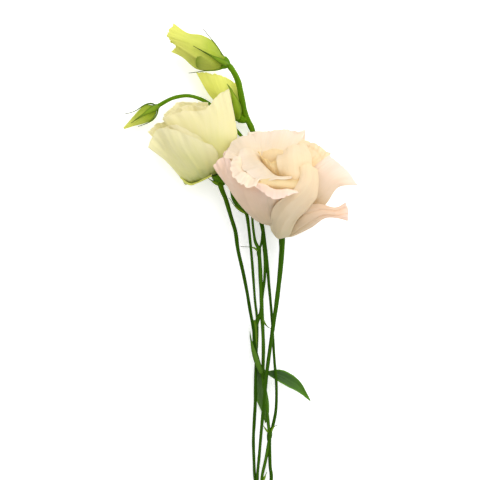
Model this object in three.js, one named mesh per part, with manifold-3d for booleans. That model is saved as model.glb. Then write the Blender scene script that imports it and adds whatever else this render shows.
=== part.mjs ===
// Lisianthus flower: one branched cut spray lying on its back, in millimetres, +Z up.
// Y runs up the spray, from the cut end of the main stem to the top bud.
import * as THREE from 'three';
import Module from 'manifold-3d';

const wasm = await Module();
wasm.setup();

// Driving dimensions
const PETAL_THICK = 0.7;
const SEPAL_THICK = 0.7;
const LEAF_THICK = 0.8;
const FLOOR = 0;
const SEAT_GAP = 0.3;
const MAIN_STEM_R = 1.8;
const MAIN_STEM_Z = MAIN_STEM_R * Math.cos(Math.PI / 8);
const MAIN_STEM_SIDES = 8;
const STEM_SIDES = 6;
const CORE_SIDES = 10;

// A petal's root lies this far up its receptacle and this share of the receptacle's radius out
const ROOT_HEIGHT = 0.4;
const ROOT_DEPTH = 0.45;
// The waves of a rim start at this share of the petal's length
const WAVE_START = 0.45;
// A blade whose middle is lower than this lies flat on the floor
const LYING_CLEARANCE = 0.05;
// Step in u and v over which a surface's slope is taken
const NET_STEP = 0.01;
const BLADE_STEP = 0.02;
// Narrowest tip of a sepal, and how its width swells and narrows
const SEPAL_TIP_WIDTH = 0.35;
const SEPAL_ROOT_SHARE = 0.55;
const SEPAL_TAPER = 0.7;
const SEPAL_SWELL_RATE = 1.5;
// Facets across and along a sepal and a leaf
const SEPAL_GRID = [1, 5];
const LEAF_GRID = [4, 9];

// The open bloom: its receptacle and the way that it faces
const OPEN_BASE = [21.4, 32.4, 10];
const OPEN_AXIS = [-0.135, 0.765, 0.63];
const OPEN_CORE = { length: 9, radii: [2.4, 4.4, 4.6, 3.2, 1.2] };
// The half open bloom
const HALF_BASE = [-11.2, 62.6, 12.8];
const HALF_AXIS = [-0.478, 0.828, 0.292];
const HALF_CORE = { length: 8, radii: [2.2, 3.6, 3.8, 2.8, 1.0] };
// The three buds. The small one's folds rise between two shares of its length.
const TOP_BASE = [-7, 117.6, 15.2];
const TOP_AXIS = [-0.92, 0.39, 0];
const TOP_CORE = { length: 22, radii: [2.2, 3.8, 4.2, 3.4, 1.4] };
const SECOND_BASE = [-0.5, 91.4, 7.2];
const SECOND_AXIS = [-0.5, 0.86, 0.1];
const SECOND_CORE = { length: 12, radii: [2.2, 3.2, 3.3, 2.4, 1.0] };
const SMALL_BASE = [-42.2, 95.3, 8.8];
const SMALL_AXIS = [-0.83, -0.54, -0.1];
const SMALL_BUD = {
  length: 18.6, radii: [2.1, 3.7, 4.2, 4.0, 3.4, 2.6, 1.8, 1.15, 0.5],
  folds: 5, foldDepth: 0.14, foldRise: [0.05, 0.25], twist: 1.1, sides: 20, rings: 12,
};

const v3 = (a) => new THREE.Vector3(a[0], a[1], a[2]);
const smooth = (a, b, x) => {
  const t = Math.min(1, Math.max(0, (x - a) / (b - a)));
  return t * t * (3 - 2 * t);
};

// Catmull-Rom curve through points, t from 0 to 1
function splinePoint(points, t) {
  const n = points.length;
  const s = Math.min(Math.max(t, 0), 1) * (n - 1);
  const k = Math.min(Math.floor(s), n - 2);
  const f = s - k;
  const p1 = points[k];
  const p2 = points[k + 1];
  const p0 = k > 0 ? points[k - 1] : p1.map((c, i) => 2 * c - p2[i]);
  const p3 = k < n - 2 ? points[k + 2] : p2.map((c, i) => 2 * c - p1[i]);
  return p1.map((c, i) => c + 0.5 * f * (p2[i] - p0[i]
    + f * (2 * p0[i] - 5 * c + 4 * p2[i] - p3[i] + f * (3 * c - p0[i] - 3 * p2[i] + p3[i]))));
}

// Point of a petal's surface: rows run from its root to its rim, u runs across it
function netPoint(rows, u, v) {
  return v3(splinePoint(rows.map((row) => splinePoint(row, u)), v));
}

function netNormal(rows, u, v) {
  const e = NET_STEP;
  const du = netPoint(rows, Math.min(u + e, 1), v).sub(netPoint(rows, Math.max(u - e, 0), v));
  const dv = netPoint(rows, u, Math.min(v + e, 1)).sub(netPoint(rows, u, Math.max(v - e, 0)));
  return du.cross(dv).normalize();
}

// Low waves toward the rim of a petal
function wavedPoint(petal, u, v) {
  const p = netPoint(petal.rows, u, v);
  const n = netNormal(petal.rows, u, v);
  const lift = petal.wave * smooth(WAVE_START, 1, v) * Math.sin(2 * Math.PI * (petal.waves * u + petal.phase));
  return p.addScaledVector(n, lift);
}

function solidOf(positions, triangles) {
  return new wasm.Manifold(new wasm.Mesh({
    numProp: 3,
    vertProperties: new Float32Array(positions),
    triVerts: new Uint32Array(triangles),
  }));
}

// A closed blade: the surface point(u, v) thickened on both faces, lying flat where it meets the floor
function bladeSolid(point, nu, nv, thick) {
  const half = thick / 2;
  const e = BLADE_STEP;
  const faces = [[], []];
  for (let j = 0; j <= nv; j += 1) {
    for (let i = 0; i <= nu; i += 1) {
      const u = i / nu;
      const v = j / nv;
      const p = point(u, v);
      const du = point(Math.min(u + e, 1), v).sub(point(Math.max(u - e, 0), v));
      const dv = point(u, Math.min(v + e, 1)).sub(point(u, Math.max(v - e, 0)));
      const n = du.cross(dv).normalize();
      if (p.z < FLOOR + half + LYING_CLEARANCE) {
        n.set(0, 0, n.z < 0 ? -1 : 1);
        p.z = FLOOR + half;
      }
      faces[0].push(p.clone().addScaledVector(n, half));
      faces[1].push(p.clone().addScaledVector(n, -half));
    }
  }
  const count = (nu + 1) * (nv + 1);
  const positions = faces.flat().flatMap((p) => [p.x, p.y, Math.max(p.z, FLOOR)]);
  const at = (i, j) => j * (nu + 1) + i;
  const triangles = [];
  for (let j = 0; j < nv; j += 1) {
    for (let i = 0; i < nu; i += 1) {
      const [a, b, c, d] = [at(i, j), at(i + 1, j), at(i + 1, j + 1), at(i, j + 1)];
      triangles.push(a, b, c, a, c, d);
      triangles.push(count + a, count + c, count + b, count + a, count + d, count + c);
    }
  }
  const rim = [];
  for (let i = 0; i < nu; i += 1) rim.push(at(i, 0));
  for (let j = 0; j < nv; j += 1) rim.push(at(nu, j));
  for (let i = nu; i > 0; i -= 1) rim.push(at(i, nv));
  for (let j = nv; j > 0; j -= 1) rim.push(at(0, j));
  rim.forEach((a, k) => {
    const b = rim[(k + 1) % rim.length];
    triangles.push(a, count + a, count + b, a, count + b, b);
  });
  return solidOf(positions, triangles);
}

// A closed body from rings of points, each ring joined to the next and the two ends capped
function ringsSolid(positions, sides, steps) {
  const triangles = [];
  for (let k = 0; k < steps; k += 1) {
    for (let s = 0; s < sides; s += 1) {
      const a = k * sides + s;
      const b = k * sides + ((s + 1) % sides);
      triangles.push(a, b, b + sides, a, b + sides, a + sides);
    }
  }
  const last = steps * sides;
  for (let s = 1; s < sides - 1; s += 1) {
    triangles.push(0, s + 1, s);
    triangles.push(last, last + s, last + s + 1);
  }
  return solidOf(positions, triangles);
}

// A closed tube along points with a radius at each, one of its flats turned down
function tubeSolid(points, radii, sides, steps) {
  const positions = [];
  for (let k = 0; k <= steps; k += 1) {
    const t = k / steps;
    const centre = v3(splinePoint(points, t));
    const ahead = v3(splinePoint(points, Math.min(t + NET_STEP, 1)));
    const tangent = ahead.sub(v3(splinePoint(points, Math.max(t - NET_STEP, 0)))).normalize();
    const side = tangent.clone().cross(new THREE.Vector3(0, 0, 1)).normalize();
    const up = side.clone().cross(tangent);
    const r = splinePoint(radii.map((x) => [x]), t)[0];
    for (let s = 0; s < sides; s += 1) {
      const angle = (2 * Math.PI * (s + 0.5)) / sides;
      const p = centre.clone().addScaledVector(side, r * Math.sin(angle)).addScaledVector(up, r * Math.cos(angle));
      positions.push(p.x, p.y, Math.max(p.z, FLOOR));
    }
  }
  return ringsSolid(positions, sides, steps);
}

function along(base, axis, distance) {
  return base.map((c, i) => c + axis[i] * distance);
}

// Points of a calyx that ends square to the bloom's axis, under its receptacle
function seat(base, axis, length) {
  return [along(base, axis, -length), along(base, axis, -length / 2), base];
}

// The receptacle in the middle of a bloom, which the petals grow out of
function coreSolid(base, axis, core) {
  const n = core.radii.length;
  const points = core.radii.map((r, k) => along(base, axis, SEAT_GAP + (core.length * k) / (n - 1)));
  return tubeSolid(points, core.radii, CORE_SIDES, n - 1);
}

// A petal's root row lies inside the receptacle, on the way to the petal's first free row
function rooted(petal, base, axis, core) {
  const heart = along(base, axis, SEAT_GAP + core.length * (petal.root ?? ROOT_HEIGHT));
  const depth = Math.max(...core.radii) * ROOT_DEPTH;
  const root = petal.rows[0].map((p) => {
    const d = p.map((c, i) => c - heart[i]);
    const reach = depth / Math.hypot(...d);
    return heart.map((c, i) => c + d[i] * reach);
  });
  return { ...petal, rows: [root, ...petal.rows] };
}

function bloomSolid(base, axis, core, petals) {
  let bloom = coreSolid(base, axis, core);
  petals.forEach((petal) => {
    const p = rooted(petal, base, axis, core);
    bloom = bloom.add(bladeSolid((u, v) => wavedPoint(p, u, v), p.nu, p.nv, PETAL_THICK));
  });
  return bloom;
}

// Petals of the open bloom. Each row runs across the petal; the first free row is nearest the receptacle.
const OPEN_PETALS = [
  // left outer petal, its rim rolled out
  {
    rows: [
      [[8, 39.5, 17], [8.7, 38.7, 24], [10.5, 38, 28.5], [13.5, 37.3, 31], [18, 36.8, 32]],
      [[-3, 52.3, 29], [-2, 50, 37], [1.5, 47.5, 42], [7.5, 45, 44], [17, 43.5, 41.5]],
      [[-9.5, 61, 37.5], [-6.8, 61.5, 42.5], [-2.8, 58, 48.5], [4, 53.5, 53], [16.5, 49.5, 51]],
      [[-13, 66, 40], [-9, 69.8, 41], [-4, 68.5, 44.5], [3, 60.5, 52.5], [13.5, 55, 56]],
    ],
    nu: 10, nv: 8, wave: 0.6, waves: 2.2, phase: 0.1,
  },
  // front outer petal with the folded strip
  {
    rows: [
      [[11, 38.5, 26], [18, 38.5, 32], [26, 39, 29]],
      [[8.5, 47.5, 44], [17, 46.5, 47.5], [28, 48, 45]],
      [[10.5, 58, 57.5], [18, 57, 60.5], [27.5, 56, 57]],
      [[9.5, 55.5, 59.5], [18.5, 49.5, 61.8], [29, 54, 59.5]],
    ],
    nu: 7, nv: 7, wave: 0.7, waves: 1.7, phase: 0.4,
  },
  // broad front petal at the right
  {
    rows: [
      [[16.6, 33, 21], [19.5, 29.8, 24], [24.5, 30.6, 21.5]],
      [[15.6, 39.5, 36], [21.5, 37.5, 39], [28.8, 38.8, 34]],
      [[18, 46.5, 50], [25.5, 46, 51], [34.6, 45, 40.5]],
      [[26, 53, 55.5], [32, 53.5, 54], [38.5, 50.5, 44.5]],
      [[30, 59.5, 53.6], [34.5, 60, 53.4], [39.5, 57.5, 47.8]],
      [[29.5, 67.5, 51.8], [34.5, 69, 50.6], [39, 64.5, 47.5]],
    ],
    nu: 7, nv: 9, wave: 0.3, waves: 1, phase: 0,
  },
  // lower right petal with a flared tip
  {
    rows: [
      [[25.6, 30.6, 12.6], [24.5, 30.9, 17.5], [24.2, 34, 20.5], [24.6, 38, 20]],
      [[35.5, 34.8, 21.5], [33.5, 35.8, 28], [31, 40.5, 31.5], [30.5, 45.5, 30.5]],
      [[42.5, 39.6, 28.5], [41.6, 40.3, 33.5], [41, 43.5, 34.5], [40, 47, 33]],
      [[48.2, 39.8, 34], [48, 40.6, 37], [48.5, 42.8, 36.5], [48, 45.3, 36]],
      [[54, 38.3, 38.5], [54.3, 40.5, 40], [54.5, 44, 39], [53, 47.7, 40]],
    ],
    nu: 6, nv: 8, wave: 0.3, waves: 1, phase: 0.2,
  },
  // right petal, spread out
  {
    rows: [
      [[33, 39, 17], [32, 42.5, 18.5], [31, 45, 18], [30, 46, 16]],
      [[43, 46.5, 29], [39, 51, 32.5], [36, 56, 34], [34.5, 58, 31]],
      [[49.5, 55.3, 35.5], [46, 58.5, 38], [40, 62.5, 42.5], [36.8, 64.8, 40.5]],
      [[59.2, 56.4, 37], [54.3, 63.3, 38], [48, 68.8, 42], [44.5, 71.2, 41.5]],
    ],
    nu: 7, nv: 6, wave: 0.5, waves: 1.4, phase: 0.6,
  },
  // back petal at the right
  {
    rows: [
      [[31, 46, 12.5], [28, 49, 10.5], [24, 51, 10]],
      [[37, 58, 23], [34, 62, 18], [29, 66, 15.5]],
      [[45.8, 72, 34], [41.5, 74.2, 31], [32.3, 78.2, 26]],
    ],
    nu: 7, nv: 5, wave: 0.8, waves: 1.8, phase: 0,
  },
  // back petal in the middle
  {
    rows: [
      [[27, 50, 8.2], [19, 51, 7.6], [12, 50, 9.5]],
      [[32, 66, 13], [20, 68, 11], [8.5, 66, 13.5]],
      [[33, 83.6, 23], [21, 84, 20], [9, 82.6, 20]],
    ],
    nu: 8, nv: 5, wave: 0.8, waves: 2.3, phase: 0.3,
  },
  // back petal at the left
  {
    rows: [
      [[13, 49, 12.5], [9, 47.5, 14], [7.5, 45.5, 16], [6.5, 43.5, 18]],
      [[8, 66, 17.5], [2, 63, 20], [-1.5, 60, 25], [-4, 56, 30]],
      [[9, 83.3, 22.5], [-1.5, 78.3, 24.5], [-6.2, 73.8, 30], [-9.5, 68.5, 36]],
    ],
    nu: 9, nv: 5, wave: 0.7, waves: 2.2, phase: 0.7,
  },
  // underside petal that lies on the floor
  {
    rows: [
      [[33, 42.5, 7.5], [30.5, 46.5, 4.2], [24.5, 48, 4.4]],
      [[43, 54, 2.6], [37, 60, -0.6], [28, 63, 1.6]],
      [[45.5, 61, 5], [39, 69.5, -0.4], [28.5, 74.5, 2.2]],
    ],
    nu: 5, nv: 5, wave: 0, waves: 1, phase: 0,
  },
  // frilled petal at the left, folded out over the outer one
  {
    rows: [
      [[10, 48, 22], [9, 44, 26], [10, 42, 30], [13, 41, 33]],
      [[6, 66, 30], [6, 60, 36], [8, 55, 42], [12, 52, 45]],
      [[1, 70.5, 41], [0.5, 65.5, 47.5], [4, 61.5, 52.5], [10.5, 58.5, 56]],
      [[-4, 71, 42], [-4, 64, 49], [0, 57, 56], [8.5, 55.2, 59.5]],
    ],
    nu: 8, nv: 7, wave: 0.8, waves: 2.4, phase: 0.2,
  },
  // petal folded out round the left of the heart
  {
    rows: [
      [[12, 50, 22], [11, 46, 27], [14, 44, 32], [18, 43, 34], [23, 44, 35]],
      [[11, 66, 28], [12.5, 61.5, 33], [15.5, 58, 38], [19, 56, 41], [25, 55, 42]],
      [[7.5, 74, 34.5], [10, 69.5, 40.5], [14, 64.5, 46.5], [19, 60.8, 51], [26.5, 60, 53]],
      [[3, 75, 34.5], [5, 69, 42.5], [9.5, 63.5, 49], [15, 59.8, 53.2], [26, 59.5, 54]],
      [[-1.5, 73.5, 36], [0, 67.5, 43.5], [4.5, 61.5, 51.5], [11.5, 58.6, 54.5], [25.3, 59, 54.2]],
    ],
    nu: 9, nv: 7, wave: 0.5, waves: 2.3, phase: 0.6,
  },
  // petal that curls round the heart, its outer face to the front
  {
    rows: [
      [[14, 50, 26], [15.5, 48, 28], [18, 47, 29], [21, 47, 29.5]],
      [[11, 69.5, 37.5], [13.6, 65, 42.5], [17.5, 62, 46.5], [23, 61, 48.5]],
      [[9.6, 73.4, 41], [12.6, 69.4, 44.8], [16.5, 67.6, 47.8], [21, 69.6, 49]],
    ],
    nu: 6, nv: 5, wave: 0.4, waves: 1.3, phase: 0.1,
  },
  // petal at the right of the heart
  {
    rows: [
      [[20, 47, 29], [25, 47.5, 29], [30, 49, 26]],
      [[20.2, 60, 46.5], [27, 57.5, 51], [35, 58, 51.8]],
      [[19, 65.5, 50], [26.5, 65.5, 52.4], [36, 66, 51.8]],
      [[18.6, 69.2, 47], [26, 71, 48.5], [35.5, 72, 46.5]],
      [[19.5, 72.5, 39], [26.5, 76, 39], [33, 77.5, 36.5]],
    ],
    nu: 6, nv: 8, wave: 0.4, waves: 1.6, phase: 0.5,
  },
  // inner petal at the back
  {
    rows: [
      [[26, 52, 20], [19, 53.5, 18.5], [12.5, 52, 20]],
      [[26, 69, 33], [16.5, 68.8, 35], [7.5, 69.5, 34.5]],
      [[30, 76.5, 27.5], [17.5, 76.5, 29], [4, 76, 29]],
      [[33, 82.5, 22.5], [19.5, 84, 21], [4.5, 82.5, 21.5]],
    ],
    nu: 7, nv: 6, wave: 0.7, waves: 1.9, phase: 0,
  },
  // inner petal at the back left
  {
    rows: [
      [[14.2, 52.1, 21], [10.1, 49.1, 23], [9.6, 47.1, 25], [9.6, 46.1, 26]],
      [[11.5, 71, 34.5], [7.5, 67, 37], [6.5, 64.5, 38.5], [6, 63, 39.5]],
      [[11, 76.5, 29.4], [2, 74.5, 33.5], [-0.5, 71, 37.5], [-1, 68.5, 40]],
      [[11.5, 83, 22.1], [-1.8, 79, 26], [-6, 73.8, 33], [-7.6, 69.4, 38]],
    ],
    nu: 7, nv: 6, wave: 0.7, waves: 1.7, phase: 0.3,
  },
  // inner petal at the back right
  {
    rows: [
      [[31, 47.5, 23], [30, 51, 20], [27, 53, 18]],
      [[35, 60, 40], [32, 66.5, 36], [25, 70, 30]],
      [[41, 65.5, 41.5], [37.5, 72, 36], [29, 76.5, 27.5]],
      [[45.5, 71.3, 39.5], [40, 76, 33.5], [32, 79.5, 27]],
    ],
    nu: 5, nv: 5, wave: 0.5, waves: 1.7, phase: 0.8,
  },
];

// Petals of the half open bloom
const HALF_PETALS = [
  // front petal
  {
    rows: [
      [[-25.8, 57, 8.5], [-21.5, 58.2, 12.5], [-16.5, 60.2, 17], [-12.8, 63.4, 18.5]],
      [[-29, 60, 8.5], [-25.5, 63, 19.5], [-20, 66, 25.5], [-11, 67.5, 24.5]],
      [[-37, 69.3, 11], [-34, 74, 24], [-26, 75.5, 30.5], [-10.5, 72, 27]],
      [[-45.8, 76, 15.5], [-40, 84.8, 24], [-28.5, 84, 30.5], [-12, 76.5, 28.5]],
    ],
    nu: 9, nv: 7, wave: 0.7, waves: 2.4, phase: 0.2,
  },
  // underside petal at the left that lies on the floor
  {
    rows: [
      [[-21, 61.5, 6.5], [-20.5, 66, 3.5], [-17, 70, 4.5]],
      [[-33, 69.5, 5.5], [-30, 75.5, -0.6], [-24, 79.5, 2.5]],
      [[-46, 83.2, 15], [-40.5, 87.5, 12], [-33, 89, 10]],
    ],
    nu: 6, nv: 5, wave: 0.4, waves: 1.5, phase: 0.1,
  },
  // back petal
  {
    rows: [
      [[-20, 73, 7], [-15, 75.5, 6.5], [-9.5, 75, 7.5]],
      [[-30, 83, 9.5], [-23.5, 87, 8.5], [-14, 87, 9]],
      [[-38.3, 90.5, 17], [-30.5, 97.8, 15.5], [-15.5, 97.8, 15.5]],
    ],
    nu: 8, nv: 5, wave: 0.6, waves: 2.4, phase: 0.5,
  },
  // broad right petal with the high peak
  {
    rows: [
      [[-17, 64.5, 15.5], [-14.5, 64.3, 18], [-11.5, 63.8, 18.8], [-9, 64.2, 17.6], [-7.4, 66, 14.5]],
      [[-23, 69.5, 17], [-17.5, 69.5, 22.5], [-12, 69, 24], [-8.2, 69, 23], [-4.3, 70, 19]],
      [[-30.5, 78.5, 20.5], [-21.5, 80, 25.8], [-14, 80, 27.4], [-8, 80, 27], [-1, 79.5, 22]],
      [[-35.5, 86, 22], [-25, 88.5, 26.5], [-15.5, 90, 27.6], [-8.5, 91, 27], [-2, 89, 22.5]],
      [[-38.5, 89.5, 22], [-28, 93.5, 26], [-17.5, 94, 26.8], [-10.5, 101.5, 26.5], [-5.2, 104.5, 23.5]],
    ],
    nu: 11, nv: 8, wave: 0.4, waves: 2.2, phase: 0,
  },
  // back petal at the right
  {
    rows: [
      [[-7, 73.5, 8], [-4, 72, 9], [-3.5, 71, 10.5]],
      [[-9.5, 86, 8.5], [-5, 85, 9], [-2.8, 82.5, 10.5]],
      [[-13, 97, 12], [-9, 99.5, 12.5], [-5, 98, 13.5]],
    ],
    nu: 5, nv: 4, wave: 0.4, waves: 1.3, phase: 0.4,
  },
  // inner petals with frilled rims
  {
    rows: [
      [[-21, 72, 14.5], [-16, 74, 13], [-10, 74, 14.5]],
      [[-30, 81.5, 18.5], [-23, 86, 18], [-14, 85.5, 19]],
      [[-37, 91, 20.5], [-28, 96, 21], [-16.5, 96, 21.5]],
    ],
    nu: 8, nv: 5, wave: 0.6, waves: 2.3, phase: 0.2,
  },
  {
    rows: [
      [[-21.5, 67.5, 18], [-18, 69.5, 22], [-13, 70, 22.5]],
      [[-31, 76, 20.5], [-24, 78.5, 26.6], [-15, 78.5, 25.8]],
      [[-40.5, 84.5, 20.5], [-29.5, 87.5, 27.3], [-16.5, 88, 26.2]],
    ],
    nu: 7, nv: 5, wave: 0.5, waves: 1.9, phase: 0.6,
  },
];

// Petals of the top bud, wrapped over each other
const TOP_PETALS = [
  {
    rows: [
      [[-10.4, 117.2, 19.2], [-9.9, 120.6, 19.8], [-9.3, 123.6, 15.8]],
      [[-15, 118, 21], [-14.4, 122.8, 22.2], [-12.9, 128.4, 15.8]],
      [[-20.5, 119.5, 21.5], [-20.5, 125, 22], [-18.8, 131.7, 16]],
      [[-27, 123.5, 19.5], [-27.5, 128.5, 20], [-25.8, 132.9, 15]],
      [[-31.5, 127, 17.5], [-35.5, 131, 17.5], [-32, 136.6, 14.5]],
    ],
    nu: 6, nv: 8, wave: 0.3, waves: 1.8, phase: 0.1, root: 0.02,
  },
  {
    rows: [
      [[-11, 118.2, 18.2], [-11, 114.3, 15], [-11, 117.2, 11]],
      [[-15, 119, 19.2], [-15, 114.2, 15], [-15, 117.4, 9]],
      [[-21.5, 121, 19.5], [-21.5, 115, 14.5], [-21.5, 118, 8.5]],
      [[-28, 124.3, 17.5], [-28.5, 120.6, 13.5], [-27.5, 122.3, 9.5]],
      [[-31, 126.3, 16], [-34, 123.2, 13], [-31, 125, 11]],
    ],
    nu: 6, nv: 7, wave: 0.2, waves: 1.2, phase: 0.6, root: 0.02,
  },
  {
    rows: [
      [[-9.9, 124, 13.8], [-10.6, 121, 10.2], [-11, 118, 11.2]],
      [[-13.4, 127.4, 13.5], [-14.4, 122.6, 8], [-15, 118.7, 9.6]],
      [[-20.5, 129, 13.5], [-20.5, 124.5, 7], [-21, 119.5, 9]],
      [[-27.5, 131.5, 13.5], [-28, 127.5, 8.5], [-27.5, 123, 10]],
      [[-32.5, 135, 13.5], [-34.5, 129.5, 11], [-31, 126, 11.8]],
    ],
    nu: 6, nv: 7, wave: 0.2, waves: 1.5, phase: 0.3, root: 0.02,
  },
  // short green lobe in front
  {
    rows: [
      [[-9.4, 118.6, 18.6], [-9.6, 116.5, 18], [-9.8, 115, 16]],
      [[-13.4, 120.4, 20.6], [-13.8, 117.6, 20.8], [-14.4, 114.3, 17]],
      [[-18, 122.6, 22.2], [-18.6, 119, 21.8], [-19, 114.4, 17.6]],
      [[-20, 122, 22.2], [-21.6, 119.2, 21.4], [-21.4, 115.8, 18.6]],
    ],
    nu: 4, nv: 5, wave: 0.1, waves: 1, phase: 0, root: 0.02,
  },
];

// Petals of the second bud, flared at the mouth
const SECOND_PETALS = [
  {
    rows: [
      [[-7.5, 95.5, 8.5], [-4.8, 96.6, 11], [-2.2, 97.2, 11.2], [0.2, 97.5, 9]],
      [[-14.6, 101.5, 9], [-10.8, 103, 12.6], [-6, 103.5, 13], [-1.2, 103.5, 9.8]],
      [[-21.6, 113.4, 10.5], [-15, 112.8, 13], [-9, 112, 13.4], [-1.6, 107.6, 10.8]],
    ],
    nu: 8, nv: 6, wave: 0.3, waves: 1.8, phase: 0.2, root: 0.15,
  },
  {
    rows: [
      [[0, 97.3, 6.5], [-3.5, 96.8, 3.5], [-7, 95.8, 6.5]],
      [[-1.6, 103, 7], [-9, 102.5, 3.2], [-14, 101.8, 6.5]],
      [[-2.4, 106, 8], [-12.5, 110.6, 5.6], [-20.6, 112, 8.4]],
    ],
    nu: 7, nv: 6, wave: 0.3, waves: 1.6, phase: 0.5, root: 0.15,
  },
];

// The small bud: five petals furled in one spiral, each edge a low step on a pointed spindle
function furledBudSolid(base, axis, bud) {
  const dir = v3(axis).normalize();
  const side = dir.clone().cross(new THREE.Vector3(0, 0, 1)).normalize();
  const up = side.clone().cross(dir);
  const positions = [];
  for (let k = 0; k <= bud.rings; k += 1) {
    const t = k / bud.rings;
    const profile = splinePoint(bud.radii.map((x) => [x]), t)[0];
    for (let s = 0; s < bud.sides; s += 1) {
      const angle = (2 * Math.PI * s) / bud.sides;
      const turn = ((bud.folds * (angle + bud.twist * t)) / (2 * Math.PI)) % 1;
      const r = profile * (1 - bud.foldDepth * smooth(...bud.foldRise, t) * turn);
      const p = along(base, axis, SEAT_GAP + bud.length * t);
      const q = v3(p).addScaledVector(side, r * Math.sin(angle)).addScaledVector(up, r * Math.cos(angle));
      positions.push(q.x, q.y, q.z);
    }
  }
  return ringsSolid(positions, bud.sides, bud.rings);
}

// Stems and stalks, each with its points and its radius from its first to its last point
const STEMS = [
  // to the open bloom
  {
    points: [[21.5, 31.7, 9.4], [21.5, 24, 9.8], [20.5, 11.5, 10], [18.75, -3.5, 9.7], [17.25, -13.5, 9.6],
      [15.5, -26, 9.8], [14, -37.5, 9.8], [12.8, -50, 9.4], [11.5, -63.5, 7.8], [10.25, -78.5, 5.8],
      [9.25, -91, 4.4], [10, -103, 3.3], [12, -114, 2.6]],
    radii: [1.5, 1.15, 0.95, 0.85, 0.75, 0.7, 0.8], steps: 18,
  },
  // to the half open bloom
  {
    points: [[-9.6, 57.5, 12.6], [-8.5, 54, 12.4], [-6.5, 49, 11.4], [-4, 40.5, 10.5], [-1.75, 33, 10],
      [-0.5, 24, 9.8], [2, 13, 9.5], [4, 3, 9.3], [5.5, -6, 9.2], [7.25, -16, 9], [7.75, -23.5, 8.6],
      [9.5, -31, 7.2], [11.7, -38.5, 5.6]],
    radii: [1.3, 1.0, 0.9, 0.78, 0.75, 0.85], steps: 18,
  },
  // to the green closed bud
  {
    points: [[3.6, 43.3, 8], [4.75, 36.5, 7.6], [6.5, 19, 6.8], [8, -1, 6.2], [8.75, -8.5, 5.7],
      [7.6, -18.5, 4.9], [7.75, -31, 5], [8.25, -40, 5], [8.25, -51, 5], [7.75, -61, 4.8], [7.25, -71, 4.6],
      [7.5, -81, 4.2], [8, -91, 3.6], [9.5, -103, 3], [12, -114, 2.5]],
    radii: [0.9, 0.65, 0.6, 0.65, 0.8, 0.75, 0.7, 0.8], steps: 20,
  },
  // thin stem between them
  {
    points: [[8.8, 52, 3.8], [7.4, 46, 4.6], [6.7, 40, 5.4], [8, 29, 6], [10, 23, 6.2], [11, 6.5, 6.1],
      [11.5, -7, 5.9], [12.25, -23.5, 5.7], [12, -38.5, 5.5]],
    radii: [0.6, 0.55, 0.65, 0.9, 0.95, 0.85, 0.8], steps: 10,
  },
  // the stem of the buds, below the open bloom and down to the lower node
  {
    points: [[-5.4, 116.8, 15.2], [-3.7, 114.8, 15.6], [-1.5, 111, 15.8], [0, 107, 15], [1, 102, 13.5], [2, 97, 11],
      [3, 92.5, 8], [4.5, 89, 5.8], [6, 86, 4.6], [7, 83, 4], [8.5, 75, 3.5], [9, 65, 3.3], [9.5, 52, 3.5],
      [10.5, 42, 4.2], [12, 34, 5], [13, 26.5, 5.6], [14.25, 16.5, 6], [15, 7, 6], [16, -3.5, 5.8],
      [16.75, -13.5, 5.5], [17.75, -31, 5], [18.75, -43.5, 4.8], [18.6, -56, 4.9], [17, -64.5, 5],
      [15.5, -69.5, 5], [15.6, -83.5, 4.4], [16.25, -91, 3.9], [15, -103.5, 3.2], [13, -114, 2.6]],
    radii: [1.1, 1.2, 1.25, 1.2, 0.75, 0.65, 0.8, 0.8], steps: 38,
  },
  // second strand of that stem
  {
    points: [[12.2, 32, 5.2], [12.6, 26, 5.8], [13.1, 18, 6.3], [12.9, 10, 6.3], [12.2, 4, 6.1], [11.5, -2, 6]],
    radii: [0.9, 0.75, 0.65, 0.6], steps: 7,
  },
  // from the upper node to the lower node
  {
    points: [[11.7, -36.5, 5.6], [12.2, -42, 5.5], [13, -48.5, 5.4], [14, -56, 5.2], [14.75, -63.5, 5.1],
      [15.3, -69.5, 5], [14.5, -76, 4.8], [13, -83.5, 4.4], [11.5, -91, 3.9], [11.3, -103, 3.1], [12.2, -114, 2.5]],
    radii: [0.9, 0.7, 0.75, 0.8, 0.7, 0.8], steps: 12,
  },
  // main stem with its plain cut end
  {
    points: [[12.2, -107, 2.2], [12.2, -113, MAIN_STEM_Z], [12.4, -121, MAIN_STEM_Z],
      [12.5, -136.5, MAIN_STEM_Z]],
    radii: [1.7, MAIN_STEM_R, MAIN_STEM_R, MAIN_STEM_R], steps: 5, sides: MAIN_STEM_SIDES,
  },
  // stalk of the second bud
  {
    points: [[4, 89.6, 6.4], [2, 89.7, 6.8], [0.4, 90.3, 7.2]],
    radii: [1.5, 1.9, 2.3], steps: 4,
  },
  // stalk of the small bud, behind the half open bloom
  {
    points: [[-40.9, 96.2, 8.9], [-37, 98.5, 9], [-33.5, 100.2, 8.8], [-29.5, 101.2, 8.4], [-25.5, 101.5, 7.6],
      [-21, 100.5, 6], [-16, 98.2, 4], [-10, 93.5, 2.4], [-4, 87, 1.9], [-0.5, 83.3, 2], [3.5, 78.5, 2.6],
      [8.2, 72, 3.3]],
    radii: [0.95, 0.85, 0.85, 0.8], steps: 20,
  },
  // twig beside the thin stem
  { points: [[10, 23.5, 6.2], [11.3, 28, 5.6], [12, 34.5, 5]], radii: [0.6, 0.55, 0.6], steps: 4 },
];

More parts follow.
